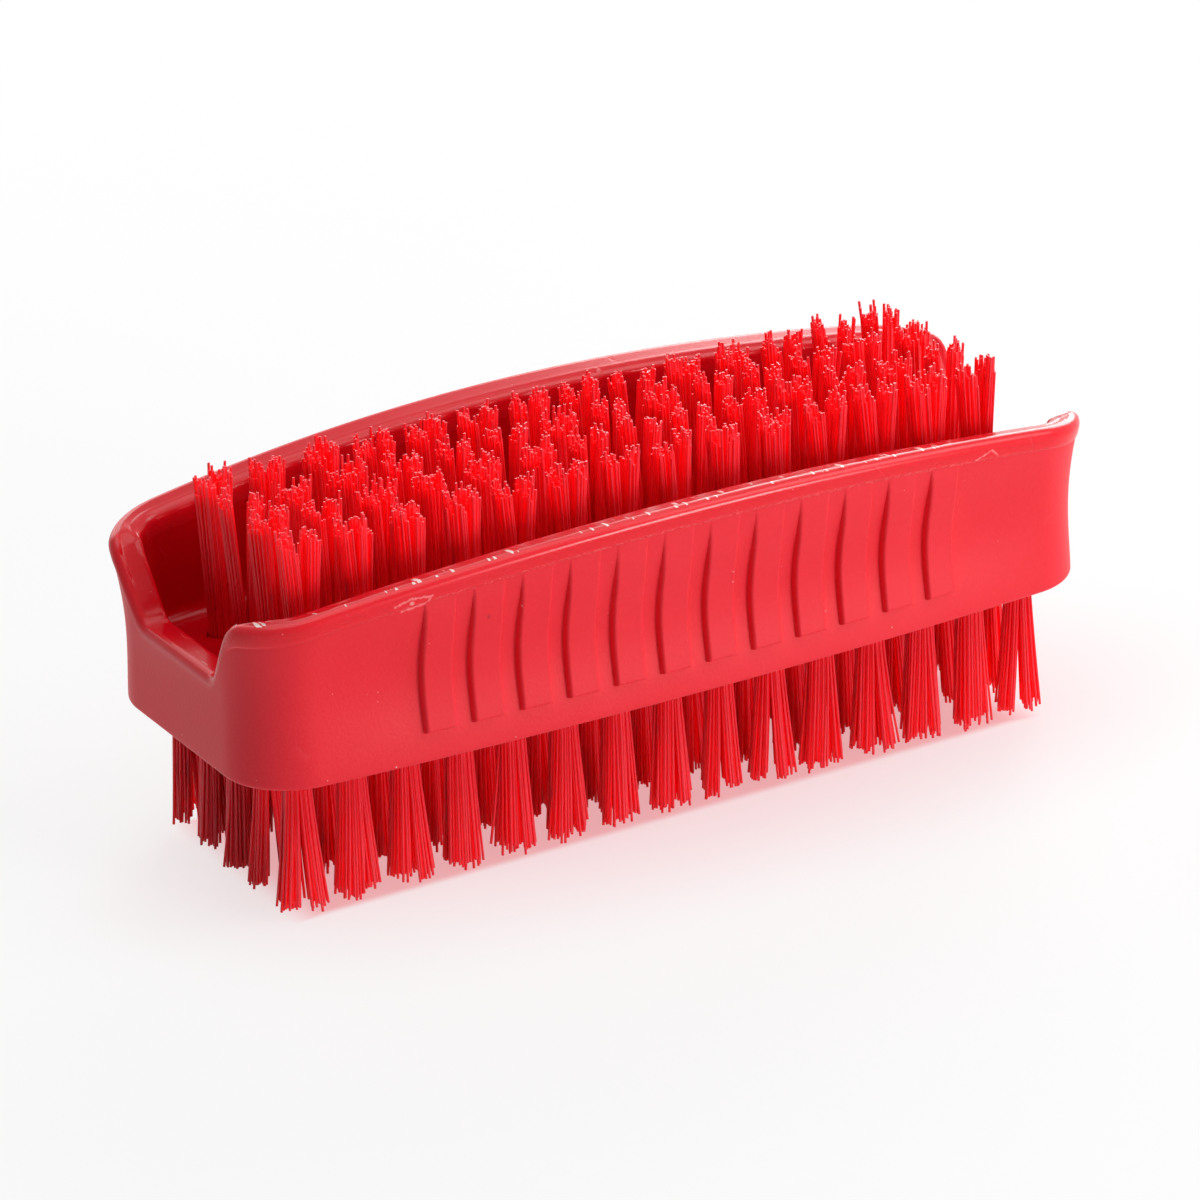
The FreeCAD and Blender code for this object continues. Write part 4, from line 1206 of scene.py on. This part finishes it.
photoCamera = {
    "azimuth": 29.221,
    "elevation": 23.592,
    "roll": -2.046,
    "distance": 0.833438,
    "rightward": -0.001421,
    "upward": 0.020716,
    "focalPixels": 6798.4,
    "framePixels": 1200,
    "sensor": 36.0,
}


def seenRays(tree):
    # 1 for rays of the camera, of reflections and of light through the material, 0 for those that light it
    paths = addNode(tree, "ShaderNodeLightPath")
    mirrored = calc(tree, "MAXIMUM", paths.outputs["Is Glossy Ray"], paths.outputs["Is Transmission Ray"])
    return calc(tree, "MAXIMUM", paths.outputs["Is Camera Ray"], mirrored)


def makeFloor():
    data = bpy.data.meshes.new("floor")
    half = studio["floorSize"] / 2
    corners = [(-half, -half, 0), (half, -half, 0), (half, half, 0), (-half, half, 0)]
    data.from_pydata(corners, [], [(0, 1, 2, 3)])
    floor = addPiece("floor", data)
    material, tree, shader = startMaterial("paleFloor")
    shader.inputs["Roughness"].default_value = studio["floorRoughness"]
    # the camera and reflections see the floor mixed with plain white, wholly so at a distance
    place = addNode(tree, "ShaderNodeTexCoord").outputs["Object"]
    away = calcVector(tree, "LENGTH", place)
    share = remap(tree, away, studio["whiteFrom"], studio["whiteTo"], studio["floorWhite"], 1.0)
    # painted red bounce light under the bristles: it tints both the floor's colour and the white that the
    # camera sees
    near = calcVector(tree, "DIVIDE", calcVector(tree, "SUBTRACT", place, studio["paintedRedBouncePlace"]),
                      (*studio["paintedRedBounceReach"], 1.0))
    paintedRedBounce = remap(tree, calcVector(tree, "LENGTH", near), *studio["paintedRedBounceFade"])
    floorWithPaintedLight = mixColour(tree, paintedRedBounce, (1.0, 1.0, 1.0, 1.0), studio["paintedRedBounce"])
    # painted red-tinted shadow right under the tips, on top of the painted bounce
    within = addNode(tree, "ShaderNodeSeparateXYZ")
    feed(tree, within.inputs[0],
         calcVector(tree, "ABSOLUTE", calcVector(tree, "DIVIDE", place, (*studio["paintedTipShadowReach"], 1.0))))
    outside = calc(tree, "MAXIMUM", within.outputs["X"], within.outputs["Y"])
    floorWithPaintedLight = mixColour(tree, remap(tree, outside, *studio["paintedTipShadowFade"]), floorWithPaintedLight, studio["underTips"])
    feed(tree, shader.inputs["Base Color"],
         mixColour(tree, 1.0, floorWithPaintedLight, studio["floorColour"], blend="MULTIPLY"))
    white = addNode(tree, "ShaderNodeEmission")
    feed(tree, white.inputs["Color"], floorWithPaintedLight)
    either = addNode(tree, "ShaderNodeMixShader")
    feed(tree, either.inputs[0], calc(tree, "MULTIPLY", share, seenRays(tree)))
    tree.links.new(shader.outputs[0], either.inputs[1])
    tree.links.new(white.outputs[0], either.inputs[2])
    output = [node for node in tree.nodes if node.type == "OUTPUT_MATERIAL"][0]
    tree.links.new(either.outputs[0], output.inputs["Surface"])
    data.materials.append(material)


def makeLamp(name, shape):
    lamp = bpy.data.lights.new(name, "AREA")
    lamp.shape = "DISK"
    lamp.size = shape["size"]
    lamp.energy = shape["power"]
    holder = bpy.data.objects.new(name, lamp)
    bpy.context.scene.collection.objects.link(holder)
    holder.location = shape["place"]
    holder.rotation_euler = (Vector((0, 0, 0.02)) - holder.location).to_track_quat("-Z", "Y").to_euler()


def makeWorld():
    world = bpy.data.worlds.new("studioAir")
    bpy.context.scene.world = world
    world.use_nodes = True
    tree = world.node_tree
    tree.nodes.clear()
    air = addNode(tree, "ShaderNodeBackground")
    air.inputs["Strength"].default_value = studio["worldStrength"]
    seen = addNode(tree, "ShaderNodeBackground")
    seen.inputs["Strength"].default_value = 1.0
    for background in (air, seen):
        background.inputs["Color"].default_value = (1.0, 1.0, 1.0, 1.0)
    either = addNode(tree, "ShaderNodeMixShader")
    feed(tree, either.inputs[0], seenRays(tree))
    tree.links.new(air.outputs[0], either.inputs[1])
    tree.links.new(seen.outputs[0], either.inputs[2])
    output = addNode(tree, "ShaderNodeOutputWorld")
    tree.links.new(either.outputs[0], output.inputs["Surface"])


def makeCamera():
    azimuth, elevation, roll = (math.radians(photoCamera[name]) for name in ("azimuth", "elevation", "roll"))
    ahead = Vector((math.sin(azimuth) * math.cos(elevation), math.cos(azimuth) * math.cos(elevation),
                    -math.sin(elevation)))
    level = Vector((math.cos(azimuth), -math.sin(azimuth), 0))
    upright = level.cross(ahead)
    right = math.cos(roll) * level + math.sin(roll) * upright
    up = math.cos(roll) * upright - math.sin(roll) * level
    lens = bpy.data.cameras.new("photoCamera")
    lens.sensor_width = photoCamera["sensor"]
    lens.lens = photoCamera["sensor"] * photoCamera["focalPixels"] / photoCamera["framePixels"]
    lens.clip_start = 0.01
    holder = bpy.data.objects.new("photoCamera", lens)
    bpy.context.scene.collection.objects.link(holder)
    place = -photoCamera["distance"] * ahead + photoCamera["rightward"] * right + photoCamera["upward"] * up
    turn = Matrix((right, up, -ahead)).transposed()
    holder.matrix_world = Matrix.Translation(place) @ turn.to_4x4()
    bpy.context.scene.camera = holder


makeFloor()
makeWorld()
for lampName, lampShape in lamps.items():
    makeLamp(lampName, lampShape)
makeCamera()
bpy.context.scene.view_settings.view_transform = "Standard"
print("studio ready")
